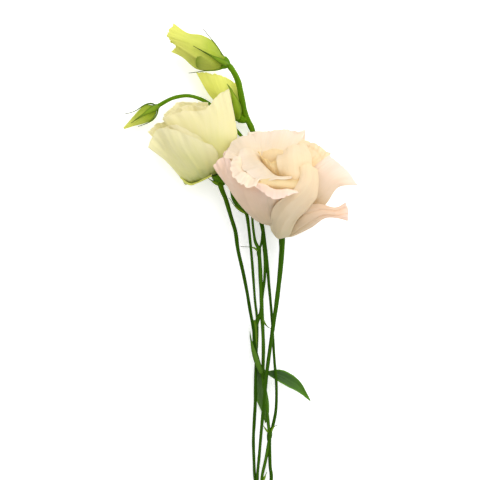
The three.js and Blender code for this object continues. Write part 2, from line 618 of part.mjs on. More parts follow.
// Calyces, nodes and the green closed bud: short swellings on the stems
const SWELLINGS = [
  { points: seat(OPEN_BASE, OPEN_AXIS, 3), radii: [1.4, 2.3, 2.6], steps: 3 },
  { points: seat(HALF_BASE, HALF_AXIS, 7), radii: [1.5, 3.0, 3.3], steps: 4 },
  { points: seat(TOP_BASE, TOP_AXIS, 3), radii: [1.1, 1.8, 2.0], steps: 3 },
  { points: seat(SECOND_BASE, SECOND_AXIS, 2.4), radii: [1.5, 2.4, 2.6], steps: 3 },
  { points: seat(SMALL_BASE, SMALL_AXIS, 2.6), radii: [0.9, 1.5, 2.1], steps: 3 },
  { points: [[10.4, 25, 6.1], [10, 22.8, 6.2], [10.1, 20.5, 6.2]], radii: [0.7, 1.15, 0.8], steps: 4 },
  { points: [[8.4, -5.5, 5.9], [8.8, -9, 5.7], [8.3, -13, 5.3]], radii: [0.6, 1.2, 0.9], steps: 4 },
  { points: [[11.5, -35, 5.8], [12, -37.6, 5.6], [12.3, -41, 5.5]], radii: [0.8, 1.5, 0.9], steps: 4 },
  { points: [[15.7, -66.5, 5], [15.4, -69, 5], [15, -72, 4.9]], radii: [0.8, 1.35, 0.9], steps: 4 },
  {
    points: [[4, 42.5, 8], [1.5, 46.5, 8.4], [-1.5, 50.5, 8.8], [-4.2, 54, 9.2]],
    radii: [1.2, 2.7, 2.5, 0.5], steps: 8,
  },
];

// Sepals and bracts: narrow pointed blades. The side is the direction across each blade.
const BLADES = [
  // open bloom, at the sides and the back
  { points: [[20.4, 32.2, 8], [15.5, 38, 7.6], [12, 43.5, 8.6]], side: [0.7, 0.7, 0.1], width: 2.4 },
  { points: [[21.5, 32.2, 7.4], [20, 37, 3.4], [18.5, 43, 3.2]], side: [1, 0, 0], width: 2.4 },
  { points: [[22.4, 32.2, 8.4], [27, 35.5, 7.8], [32, 39, 8.6]], side: [0.5, -0.86, 0], width: 2.2 },
  // half open bloom
  {
    points: [[-9.4, 56.6, 12.8], [-12.8, 58.2, 13], [-15.9, 60.3, 13.4]],
    side: [0.5, 0.86, -0.2], width: 2.4,
  },
  { points: [[-9.5, 58, 12], [-5.6, 63, 10.5], [-3.6, 69.5, 9.5]], side: [0.4, -0.2, 0.9], width: 2.4 },
  { points: [[-10.2, 58.5, 11], [-13.4, 63, 7.2], [-16, 67.5, 4.6]], side: [0.86, 0.5, 0], width: 2.4 },
  // top bud
  {
    points: [[-5.9, 118, 15.6], [-6, 120.2, 15.8], [-7, 122.8, 15.9], [-9, 125.9, 16],
      [-11.8, 129.1, 16], [-14.3, 131.6, 15.8], [-17.3, 134, 15.6]],
    side: [0, 0.3, 1], width: 2.2,
  },
  {
    points: [[-5.7, 117, 16.4], [-6.1, 117.5, 19.6], [-9.2, 118.7, 22.2], [-12.6, 120.2, 23.5],
      [-17, 122.8, 24.1], [-22.6, 125.6, 23.8]],
    side: [-0.5, 0.86, 0.1], width: 4.6,
  },
  {
    points: [[-6.2, 116.3, 15], [-7.8, 113.6, 15.2], [-12, 112.6, 15.7], [-17, 112.4, 15.7],
      [-21, 112.3, 15.4], [-25.2, 112.3, 15]],
    side: [0, 0.3, 1], width: 2.2,
  },
  {
    points: [[-5.7, 117, 14], [-6.6, 117.8, 10.8], [-11.8, 119, 6.4], [-17, 121.5, 5], [-23, 124, 4.8]],
    side: [-0.5, 0.86, 0.1], width: 2.6,
  },
  // second bud
  { points: [[1, 90.6, 7.4], [2.3, 95.4, 8], [1.2, 101.5, 8.4]], side: [0.2, 0.1, 1], width: 2 },
  {
    points: [[-0.6, 90.6, 9.4], [-1.3, 95.4, 14], [-4, 101.5, 15], [-5.6, 105.8, 15.2]],
    side: [0.86, 0.5, 0], width: 2.2,
  },
  // small bud
  {
    points: [[-41, 96.5, 9.5], [-43.1, 98.3, 9.4], [-46.4, 98.2, 9.3], [-49.4, 96.8, 9.2],
      [-51.8, 95.1, 9.1], [-54.3, 93.6, 8.9], [-57.2, 92.6, 8.6]],
    side: [0, 0.3, 1], width: 2,
  },
  {
    points: [[-40.5, 94.6, 9.2], [-40.4, 91.6, 9.2], [-42.1, 89, 9.2], [-44.9, 87.2, 9],
      [-47.8, 86, 8.6], [-50.8, 85.2, 8.2]],
    side: [0, 0.3, 1], width: 2,
  },
  {
    points: [[-40.9, 96, 10], [-42.2, 95.3, 12.6], [-44.4, 94, 13.8], [-47.2, 92.4, 13.9],
      [-50.6, 90.2, 13], [-54, 87.8, 11.2]],
    side: [-0.5, 0.8, 0], width: 4,
  },
  // bracts at the nodes
  { points: [[9.6, 23.2, 6.4], [7, 25.2, 7.2], [0.8, 25.7, 7.4]], side: [0.1, 1, 0], width: 1.4 },
  { points: [[8.4, -8, 6], [12.7, -11.5, 7], [16, -15.3, 7.6]], side: [0.6, 0.8, 0], width: 1.4 },
  { points: [[8.4, -12, 5.2], [5.9, -17, 4.8], [5.8, -22, 4.6]], side: [1, 0, 0], width: 1.8 },
  { points: [[15.8, -68, 5.2], [17.5, -65, 6], [19.5, -64, 6.4]], side: [0.5, -0.86, 0], width: 1.2 },
  { points: [[14.8, -68, 5.2], [13, -65.5, 6], [11.7, -63.4, 6.2]], side: [0.7, 0.7, 0], width: 1.2 },
];

// A sepal is widest a third of the way along and ends in a narrow tip
function bladeWidth(t, width) {
  const swell = SEPAL_ROOT_SHARE + (1 - SEPAL_ROOT_SHARE) * Math.sin(Math.PI * Math.min(t * SEPAL_SWELL_RATE, 1));
  return Math.max(SEPAL_TIP_WIDTH, width * swell * (1 - t) ** SEPAL_TAPER);
}

function sepalSolid(blade) {
  const side = v3(blade.side).normalize();
  const point = (u, v) => {
    const p = v3(splinePoint(blade.points, v));
    return p.addScaledVector(side, (u - 0.5) * bladeWidth(v, blade.width));
  };
  return bladeSolid(point, ...SEPAL_GRID, SEPAL_THICK);
}

function stemsSolid() {
  let stems = null;
  [...STEMS, ...SWELLINGS].forEach((stem) => {
    const tube = tubeSolid(stem.points, stem.radii, stem.sides ?? STEM_SIDES, stem.steps);
    stems = stems ? stems.add(tube) : tube;
  });
  BLADES.forEach((blade) => {
    stems = stems.add(sepalSolid(blade));
  });
  return stems;
}

// Leaves: each row runs from one margin over the midrib to the other margin
const LEAF_RIGHT = [
  [[13.9, -38.4, 7], [14.1, -37.6, 6.7], [14.3, -36.9, 7]],
  [[19, -41.6, 8.2], [20, -38.9, 7.4], [20.5, -36.1, 8.2]],
  [[24.2, -44.6, 8.7], [25.3, -41.8, 7.6], [26, -38.2, 8.6]],
  [[30, -47.6, 8.2], [30.6, -45.2, 7.2], [31.2, -42.8, 8.2]],
  [[34.9, -50.6, 6.8], [35.2, -50.4, 6.7], [35.5, -50.1, 6.8]],
];
const LEAF_HANGING = [
  [[10.8, -38.6, 3.5], [11.8, -38.2, 3.4], [12.8, -38.8, 3.5]],
  [[8.4, -45, 1.6], [11.4, -45.5, 1.1], [14, -46, 1.7]],
  [[9, -52, 1.4], [12.3, -52.3, 0.9], [15.3, -52.5, 1.7]],
  [[11.2, -57, 1.5], [13.2, -57.6, 1.1], [15, -58, 1.7]],
  [[13.1, -62.8, 1.6], [13.4, -63, 1.6], [13.7, -63, 1.6]],
];

const group = new THREE.Group();

function addPart(name, solid, colour, roughness) {
  const { vertProperties, triVerts } = solid.getMesh();
  const geometry = new THREE.BufferGeometry();
  geometry.setAttribute('position', new THREE.BufferAttribute(new Float32Array(vertProperties), 3));
  geometry.setIndex(new THREE.BufferAttribute(new Uint32Array(triVerts), 1));
  geometry.computeVertexNormals();
  const material = new THREE.MeshStandardMaterial({ color: colour, roughness, metalness: 0 });
  const mesh = new THREE.Mesh(geometry, material);
  mesh.name = name;
  group.add(mesh);
}

function leafSolid(rows) {
  return bladeSolid((u, v) => netPoint(rows, u, v), ...LEAF_GRID, LEAF_THICK);
}

addPart('stems', stemsSolid(), 0x4f8a22, 0.55);
addPart('leaf_right', leafSolid(LEAF_RIGHT), 0x4b6e3c, 0.6);
addPart('leaf_hanging', leafSolid(LEAF_HANGING), 0x4b6e3c, 0.6);
addPart('bloom_open', bloomSolid(OPEN_BASE, OPEN_AXIS, OPEN_CORE, OPEN_PETALS), 0xf6e2cb, 0.7);
addPart('bloom_half', bloomSolid(HALF_BASE, HALF_AXIS, HALF_CORE, HALF_PETALS), 0xdcdc9c, 0.7);
addPart('bud_top', bloomSolid(TOP_BASE, TOP_AXIS, TOP_CORE, TOP_PETALS), 0xc8cf4a, 0.6);
addPart('bud_second', bloomSolid(SECOND_BASE, SECOND_AXIS, SECOND_CORE, SECOND_PETALS), 0xcdd24c, 0.6);
addPart('bud_small', furledBudSolid(SMALL_BASE, SMALL_AXIS, SMALL_BUD), 0x93ad2e, 0.6);

export default group;
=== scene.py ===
import math
from dataclasses import dataclass

import bpy
import numpy as np
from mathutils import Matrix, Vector


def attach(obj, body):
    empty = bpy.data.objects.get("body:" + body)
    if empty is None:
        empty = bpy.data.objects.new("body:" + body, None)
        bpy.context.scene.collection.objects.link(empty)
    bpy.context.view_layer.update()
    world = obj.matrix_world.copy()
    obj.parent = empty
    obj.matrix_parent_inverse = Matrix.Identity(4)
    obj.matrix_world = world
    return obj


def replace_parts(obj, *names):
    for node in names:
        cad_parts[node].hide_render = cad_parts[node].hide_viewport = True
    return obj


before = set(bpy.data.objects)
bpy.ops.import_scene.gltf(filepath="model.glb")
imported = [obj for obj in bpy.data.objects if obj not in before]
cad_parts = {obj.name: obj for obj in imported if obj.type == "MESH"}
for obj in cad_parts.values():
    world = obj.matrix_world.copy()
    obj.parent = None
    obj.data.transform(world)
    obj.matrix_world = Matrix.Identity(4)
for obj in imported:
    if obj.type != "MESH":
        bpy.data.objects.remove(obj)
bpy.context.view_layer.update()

# A cut spray of lisianthus on its back. The nets are in millimetres, as in the part's source, +Z up.
MM = 0.001

# Driving dimensions
PETAL_THICK = 0.34
RIM_THICK_SHARE = 0.55
SEPAL_THICK = 0.55
LEAF_THICK = 0.5
SEAT_GAP = 0.3
STEM_FULLNESS = 1.08
# The main stem has eight sides in the part's source and lies on one of them
MAIN_STEM_R = 1.8
MAIN_STEM_Z = MAIN_STEM_R * math.cos(math.pi / 8)

# The photograph's frame: millimetres across it, and the point of the object in its middle
FRAME_WIDTH = 240
FRAME_CENTRE = (0.5, 29, 25)
LENS = 500
SENSOR = 36

# A petal's root lies this far up its receptacle and this share of the receptacle's radius out
ROOT_HEIGHT = 0.4
ROOT_DEPTH = 0.45
# Share of a petal's length where its waves, frills and nicks start
WAVE_START = 0.45
FRILL_START = 0.66
NICK_START = 0.8
# How many times finer than its waves a petal's frills, folds and nicks are
FRILL_RATE = 2.3
FOLD_RATE = 2.4
NICK_RATE = 3.3
# How far the frills lean across between root and rim
FRILL_LEAN = 0.06
# A sheet whose middle is lower than this above its own half thickness lies flat on the floor
LYING_CLEARANCE = 0.05

# Cells of the meshes
PETAL_CELLS = 52
PETAL_GRADING = 1.3
SEPAL_CELLS = (8, 40)
LEAF_CELLS = (36, 60)
CORE_CELLS = (24, 12)
SWELLING_CELLS = (18, 14)
SMALL_BUD_CELLS = (90, 70)
STEM_SIDES = 14
# Millimetres between a stem's rings, and the fewest cells along one
STEM_STEP = 1.1
STEM_LEAST_CELLS = 6

# Tubes: ridges along them, how much and how often their thickness sways, and their tone
RIDGE_COUNT = 4
STEM_RIDGES = 0.03
SWELLING_RIDGES = 0.05
SWAY = 0.05
SWAY_STEPS = 14
STEM_PALE = 0.2
SWELLING_PALE = 0.4

# Sepals and bracts: width at the root and the tip, swell, taper, keel, and thickness at the edge and the tip
SEPAL_ROOT_SHARE = 0.55
SEPAL_TIP_WIDTH = 0.3
SEPAL_SWELL_RATE = 1.5
SEPAL_TAPER = 0.7
SEPAL_KEEL = 0.16
SEPAL_EDGE_THICK = 0.35
SEPAL_TIP_THINNING = 0.4

# Leaves: depth and width of the midrib and of the side veins, and the waves of the margin
RIB = {"depth": 0.28, "width": 0.06}
SIDE_VEIN = {"depth": 0.07, "width": 0.07}
MARGIN_WAVE = 0.18
MARGIN_WAVES = 5
MARGIN_START = 0.75

# The stage, in metres
FLOOR_HALF = 3.0
FLOOR_DROP = 0.0004
FLOOR_GLOW = 0.38
WORLD_STRENGTH = 0.735
LIGHT_TARGET = (0, 0.04, 0.02)
KEY_LIGHT = {"place": (0.3, 0.8, 1.2), "size": 1.0, "power": 9.5}
FILL_LIGHT = {"place": (0.9, -0.1, 1.0), "size": 1.2, "power": 4.5}


def srgb(r, g, b):
    """A colour given as on a screen, 0 to 255, as the linear numbers that shaders use."""
    c = np.array([r, g, b]) / 255
    linear = np.where(c <= 0.04045, c / 12.92, ((c + 0.055) / 1.055) ** 2.4)
    return (*linear.tolist(), 1.0)


def smooth(a, b, x):
    """A soft step from 0 at a to 1 at b."""
    t = np.clip((x - a) / (b - a), 0, 1)
    return t * t * (3 - 2 * t)


def even(count):
    """Numbers from 0 to 1 in that many even steps."""
    return np.linspace(0, 1, count + 1)


def unit(a):
    length = np.linalg.norm(a, axis=-1, keepdims=True)
    return a / np.maximum(length, 1e-9)


def spline_weights(count, t):
    """Weights of a Catmull-Rom curve's points at each t from 0 to 1, one row for each t."""
    s = np.clip(t, 0, 1) * (count - 1)
    k = np.minimum(np.floor(s).astype(int), count - 2)
    f = s - k
    w = [
        0.5 * (-f + 2 * f**2 - f**3),
        1 + 0.5 * (-5 * f**2 + 3 * f**3),
        0.5 * (f + 4 * f**2 - 3 * f**3),
        0.5 * (-(f**2) + f**3),
    ]
    table = np.zeros((len(s), count))
    rows = np.arange(len(s))
    first = k == 0
    last = k == count - 2
    # Beyond either end the curve goes on straight
    np.add.at(table, (rows, k), w[1] + np.where(first, 2 * w[0], 0) - np.where(last, w[3], 0))
    np.add.at(table, (rows, k + 1), w[2] - np.where(first, w[0], 0) + np.where(last, 2 * w[3], 0))
    np.add.at(table, (rows, np.maximum(k - 1, 0)), np.where(first, 0, w[0]))
    np.add.at(table, (rows, np.minimum(k + 2, count - 1)), np.where(last, 0, w[3]))
    return table


def curve(points, t):
    """Points of the curve through the given ones, t from 0 to 1."""
    points = np.array(points, float)
    return spline_weights(len(points), t) @ points


def net(rows, u, v):
    """Points of the surface through a net: rows run from root to rim, u runs across."""
    rows = np.array(rows, float)
    across = np.einsum("uc,rcx->rux", spline_weights(rows.shape[1], u), rows)
    return np.einsum("vr,rux->vux", spline_weights(rows.shape[0], v), across)


def surface_axes(points, u, v):
    """Unit directions across, along and square to a surface."""
    du = unit(np.gradient(points, u, axis=1))
    dv = unit(np.gradient(points, v, axis=0))
    return du, dv, unit(np.cross(du, dv))


def uneven(t, cycles, rng):
    """A smooth uneven line between about -1 and 1 with that many waves over t from 0 to 1."""
    total = 0
    for share, factor in ((0.6, 1), (0.4, 1.73)):
        total = total + share * np.sin(2 * np.pi * (cycles * factor * t + rng.random()))
    return total


def scallops(t, cycles, rng):
    """The uneven nicks of a frilled rim: round bumps with sharp notches, deep in places."""
    wander = 0.35 * uneven(t, 2.3, rng)
    bumps = np.abs(np.sin(np.pi * (cycles * t + wander + rng.random()))) ** 0.6
    depth = 0.55 + 0.45 * uneven(t, cycles * 0.37, rng)
    return (bumps - 0.75) * np.clip(depth, 0.1, 1)


# Meshes

def new_object(name, data):
    made = bpy.data.objects.new(name, data)
    bpy.context.scene.collection.objects.link(made)
    return made


def grown(across, along, tone):
    """What each point knows: how far across and along it grew, and its tone."""
    return np.stack([across, along, np.full_like(along, tone)], -1).reshape(-1, 3)


class Shape:
    """Vertices and faces of one piece, gathered from its grids."""

    def __init__(self):
        self.points = []
        self.coords = []
        self.faces = []
        self.flat = []
        self.count = 0

    def add(self, points, coords, faces, flat):
        self.points.append(points)
        self.coords.append(coords)
        self.faces += [tuple(i + self.count for i in f) for f in faces]
        self.flat += flat
        self.count += len(points)

    def build(self, name, material):
        """The piece as an object that rides on the root."""
        mesh = bpy.data.meshes.new(name)
        mesh.from_pydata((np.concatenate(self.points) * MM).tolist(), [], self.faces)
        mesh.polygons.foreach_set("use_smooth", [not f for f in self.flat])
        attribute = mesh.attributes.new("grown", "FLOAT_VECTOR", "POINT")
        attribute.data.foreach_set("vector", np.concatenate(self.coords).astype(np.float32).ravel())
        mesh.materials.append(material)
        piece = new_object(name, mesh)
        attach(piece, "root")
        return piece


def grid_faces(nu, nv, count):
    """Faces of a closed sheet: an upper grid, a lower one, and the strip round their rim."""
    def at(i, j):
        return j * (nu + 1) + i
    faces = []
    flat = []
    for j in range(nv):
        for i in range(nu):
            a, b, c, d = at(i, j), at(i + 1, j), at(i + 1, j + 1), at(i, j + 1)
            faces += [(a, b, c, d), (count + a, count + d, count + c, count + b)]
            flat += [False, False]
    rim = [at(i, 0) for i in range(nu)] + [at(nu, j) for j in range(nv)]
    rim += [at(i, nv) for i in range(nu, 0, -1)] + [at(0, j) for j in range(nv, 0, -1)]
    for k, a in enumerate(rim):
        b = rim[(k + 1) % len(rim)]
        faces.append((a, count + a, count + b, b))
        flat.append(True)
    return faces, flat


def ring_faces(sides, steps):
    """Faces of a closed tube: strips between neighbouring rings, and a flat cap at each end."""
    faces = []
    for k in range(steps):
        for s in range(sides):
            a = k * sides + s
            b = k * sides + (s + 1) % sides
            faces.append((a, b, b + sides, a + sides))
    flat = [False] * len(faces) + [True, True]
    last = steps * sides
    faces.append(tuple(range(sides - 1, -1, -1)))
    faces.append(tuple(range(last, last + sides)))
    return faces, flat


def ring_points(centre, side, up, radius, angle):
    """Rings of points round a line of centres."""
    return (
        centre[:, None]
        + side * (radius * np.sin(angle))[..., None]
        + up * (radius * np.cos(angle))[..., None]
    )


def add_sheet(shape, points, u, v, thick, tone):
    """A sheet of tissue with both faces and a rim. It lies flat where it meets the floor."""
    _, _, normal = surface_axes(points, u, v)
    half = np.broadcast_to(np.asarray(thick) / 2, points.shape[:2])[..., None].copy()
    low = points[..., 2:3] < half + LYING_CLEARANCE
    lying = np.where(normal[..., 2:3] < 0, -1.0, 1.0) * np.array([0, 0, 1.0])
    normal = np.where(low, lying, normal)
    points = points.copy()
    points[..., 2] = np.maximum(points[..., 2], half[..., 0])
    both = np.concatenate([(points + normal * half).reshape(-1, 3), (points - normal * half).reshape(-1, 3)])
    both[:, 2] = np.maximum(both[:, 2], 0)
    grid_u, grid_v = np.meshgrid(u, v)
    coords = grown(grid_u, grid_v, tone)
    faces, flat = grid_faces(len(u) - 1, len(v) - 1, len(u) * len(v))
    shape.add(both, np.concatenate([coords, coords]), faces, flat)


def add_tube(shape, points, radii, cells, tone=0.0, ridges=0.0, rng=None):
    """A closed round tube along a curve, with shallow ridges along it."""
    sides, steps = cells
    t = even(steps)
    centre = curve(points, t)
    tangent = unit(np.gradient(centre, axis=0))
    side = unit(np.cross(tangent, [0, 0, 1]))
    up = np.cross(side, tangent)
    radius = curve([[r] for r in radii], t)
    if rng is not None:
        radius = radius * (1 + SWAY * uneven(t, steps / SWAY_STEPS, rng))[:, None]
    angle = 2 * np.pi * np.arange(sides) / sides
    wide = radius * (1 + ridges * np.cos(angle * RIDGE_COUNT))[None, :]
    rings = ring_points(centre, side[:, None], up[:, None], wide, angle)
    rings[..., 2] = np.maximum(rings[..., 2], 0)
    share, around = np.meshgrid(t, angle / (2 * np.pi), indexing="ij")
    shape.add(rings.reshape(-1, 3), grown(around, share, tone), *ring_faces(sides, steps))


# Parts of the plant

@dataclass
class Bloom:
    """A bloom's or bud's receptacle: its foot, the way that it faces, its length and its radii."""

    base: list
    axis: list
    length: float
    radii: list

    def along(self, distance):
        """The point that far along the axis from the foot."""
        return [b + a * distance for b, a in zip(self.base, self.axis)]

    def seat(self, length):
        """Points of a calyx that ends square to the axis, under the receptacle."""
        return [self.along(-length), self.along(-length / 2), self.base]


@dataclass
class Petal:
    """A petal's net and, in millimetres, the height of its waves, frills, folds, nicks and ridges."""

    rows: list
    wave: float = 0
    waves: float = 1
    phase: float = 0
    frill: float = 0.5
    folds: float = 0.06
    nicks: float = 0.9
    tone: float = 0
    root: float = ROOT_HEIGHT
    ridges: tuple = ()


@dataclass
class Stem:
    """A stem: its middle line, its radii, and how pale its skin is."""

    points: list
    radii: list
    pale: float = STEM_PALE


@dataclass
class Blade:
    """A sepal or bract: its middle line, the way across it, its greatest width and its tint."""

    points: list
    side: list
    width: float
    tint: float = 0


OPEN = Bloom([21.4, 32.4, 10], axis=[-0.135, 0.765, 0.63], length=9, radii=[2.4, 4.4, 4.6, 3.2, 1.2])
HALF = Bloom([-11.2, 62.6, 12.8], axis=[-0.478, 0.828, 0.292], length=8, radii=[2.2, 3.6, 3.8, 2.8, 1.0])
TOP = Bloom([-7, 117.6, 15.2], axis=[-0.92, 0.39, 0], length=22, radii=[3.0, 4.0, 4.2, 3.4, 1.4])
SECOND = Bloom([-0.5, 91.4, 7.2], axis=[-0.5, 0.86, 0.1], length=12, radii=[2.2, 3.2, 3.3, 2.4, 1.0])
SMALL = Bloom(
    [-42.2, 95.3, 8.8], axis=[-0.83, -0.54, -0.1], length=18.6,
    radii=[2.1, 3.7, 4.2, 4.0, 3.4, 2.6, 1.8, 1.15, 0.5])
# The small bud's folds: how many, how deep, where they rise and how far they twist
SMALL_FOLDS = {"count": 5, "depth": 0.14, "rise": (0.05, 0.25), "twist": 1.1}

# The petals. The rows of a net run from root to rim. A ridge runs from one place across and along the
# petal to another, and its height and width end its list.

OPEN_OUTER_PETALS = [
    # left outer petal, its rim rolled out
    Petal([
        [[8, 39.5, 17], [8.7, 38.7, 24], [10.5, 38, 28.5], [13.5, 37.3, 31], [18, 36.8, 32]],
        [[-3, 52.3, 29], [-2, 50, 37], [1.5, 47.5, 42], [7.5, 45, 44], [17, 43.5, 41.5]],
        [[-9.5, 61, 37.5], [-6.8, 61.5, 42.5], [-2.8, 58, 48.5], [4, 53.5, 53], [16.5, 49.5, 51]],
        [[-13, 66, 40], [-9, 69.8, 41], [-4, 68.5, 44.5], [3, 60.5, 52.5], [13.5, 55, 56]],
    ], wave=0.6, waves=2.2, phase=0.1, tone=0.45),
    # front outer petal with the folded strip
    Petal([
        [[11, 38.5, 26], [18, 38.5, 32], [26, 39, 29]],
        [[8.5, 47.5, 44], [17, 46.5, 47.5], [28, 48, 45]],
        [[8.6, 57.2, 57], [18, 54.4, 60.3], [28.2, 53.4, 57]],
        [[8, 55.4, 58.6], [17.8, 49.3, 61.8], [29.4, 52.6, 59.5]],
    ], wave=0.7, waves=1.7, phase=0.4, frill=0.25, nicks=1.2, tone=0.3),
    # broad front petal at the right
    Petal([
        [[16.6, 33, 21], [19.5, 29.8, 24], [24.5, 30.6, 21.5]],
        [[15.6, 39.5, 36], [21.5, 37.5, 38.4], [28.8, 38.8, 32.8]],
        [[18, 46.5, 50], [25.5, 46, 50.4], [34.6, 45, 38]],
        [[26, 53, 55], [32, 53.5, 53], [38.5, 50.5, 42.2]],
        [[30, 59.5, 52.8], [34.5, 60, 52.2], [39.5, 57.5, 45.6]],
        [[30.4, 65.6, 52.2], [34.7, 67, 50.4], [39, 64, 46.2]],
    ], wave=0.3, frill=0.25, nicks=0.5, tone=-0.8, ridges=[
        [0.93, 0.32, 0.95, 0.66, 0.6, 0.04], [0.56, 0.34, 0.86, 0.62, 0.5, 0.05],
        [0.3, 0.4, 0.66, 0.84, 0.4, 0.06],
    ]),
    # lower right petal with a flared tip
    Petal([
        [[25.6, 30.6, 12.6], [24.5, 30.9, 17.5], [24.2, 34, 20.5], [24.6, 38, 20]],
        [[35.5, 34.8, 21.5], [33.5, 35.8, 29], [31, 40.5, 33.6], [30.5, 45.5, 33.4]],
        [[42.5, 39.6, 28.5], [41.6, 40.3, 33.5], [41, 43.5, 34.5], [40, 47, 33]],
        [[48.2, 39.8, 34], [48, 40.6, 37], [48.5, 42.8, 36.5], [48, 45.3, 36]],
        [[54, 38.3, 38.5], [54.3, 40.5, 40], [54.5, 44, 39], [53, 47.7, 40]],
    ], wave=0.3, phase=0.2, frill=0.12, nicks=0.4, tone=0.35, ridges=[
        [0.3, 0.15, 0.5, 0.95, 0.8, 0.045], [0.68, 0.25, 0.8, 0.92, 0.7, 0.045],
        [0.05, 0.3, 0.1, 0.9, 0.4, 0.04],
    ]),
    # right petal, spread out
    Petal([
        [[33, 39, 17], [32, 42.5, 18.5], [31, 45, 18], [30, 46, 16]],
        [[43, 46.5, 29], [39, 51, 34], [36, 56, 37.5], [34.5, 58, 37]],
        [[49.5, 55.3, 35.5], [46, 58.5, 38.6], [40, 62.5, 43.6], [36.8, 64.8, 43.4]],
        [[59.2, 56.4, 37], [54.3, 63.3, 38], [48, 68.8, 42], [44.5, 71.2, 41.5]],
    ], wave=0.5, waves=1.4, phase=0.6, frill=0.15, nicks=0.5, ridges=[
        [0.86, 0.45, 0.8, 0.98, 0.6, 0.06], [0.3, 0.3, 0.2, 0.9, 0.3, 0.05],
    ]),
    # back petal at the right
    Petal([
        [[31, 46, 12.5], [28, 49, 10.5], [24, 51, 10]],
        [[37, 58, 23], [34, 62, 18], [29, 66, 15.5]],
        [[45.8, 72, 34], [41.5, 74.2, 31], [32.3, 78.2, 26]],
    ], wave=0.8, waves=1.8),
    # back petal in the middle
    Petal([
        [[27, 50, 8.2], [19, 51, 7.6], [12, 50, 9.5]],
        [[32, 66, 13], [20, 68, 11], [8.5, 66, 13.5]],
        [[33, 83.6, 23], [21, 84, 20], [9, 82.6, 20]],
    ], wave=0.8, waves=2.3, phase=0.3),
    # back petal at the left
    Petal([
        [[13, 49, 12.5], [9, 47.5, 14], [7.5, 45.5, 16], [6.5, 43.5, 18]],
        [[8, 66, 17.5], [2, 63, 20], [-1.5, 60, 25], [-4, 56, 30]],
        [[9, 83.3, 22.5], [-1.5, 78.3, 24.5], [-6.2, 73.8, 30], [-9.5, 68.5, 36]],
    ], wave=0.7, waves=2.2, phase=0.7),
    # underside petal that lies on the floor
    Petal([
        [[33, 42.5, 7.5], [30.5, 46.5, 4.2], [24.5, 48, 4.4]],
        [[43, 54, 2.6], [37, 60, -0.6], [28, 63, 1.6]],
        [[45.5, 61, 5], [39, 69.5, -0.4], [28.5, 74.5, 2.2]],
    ]),
]

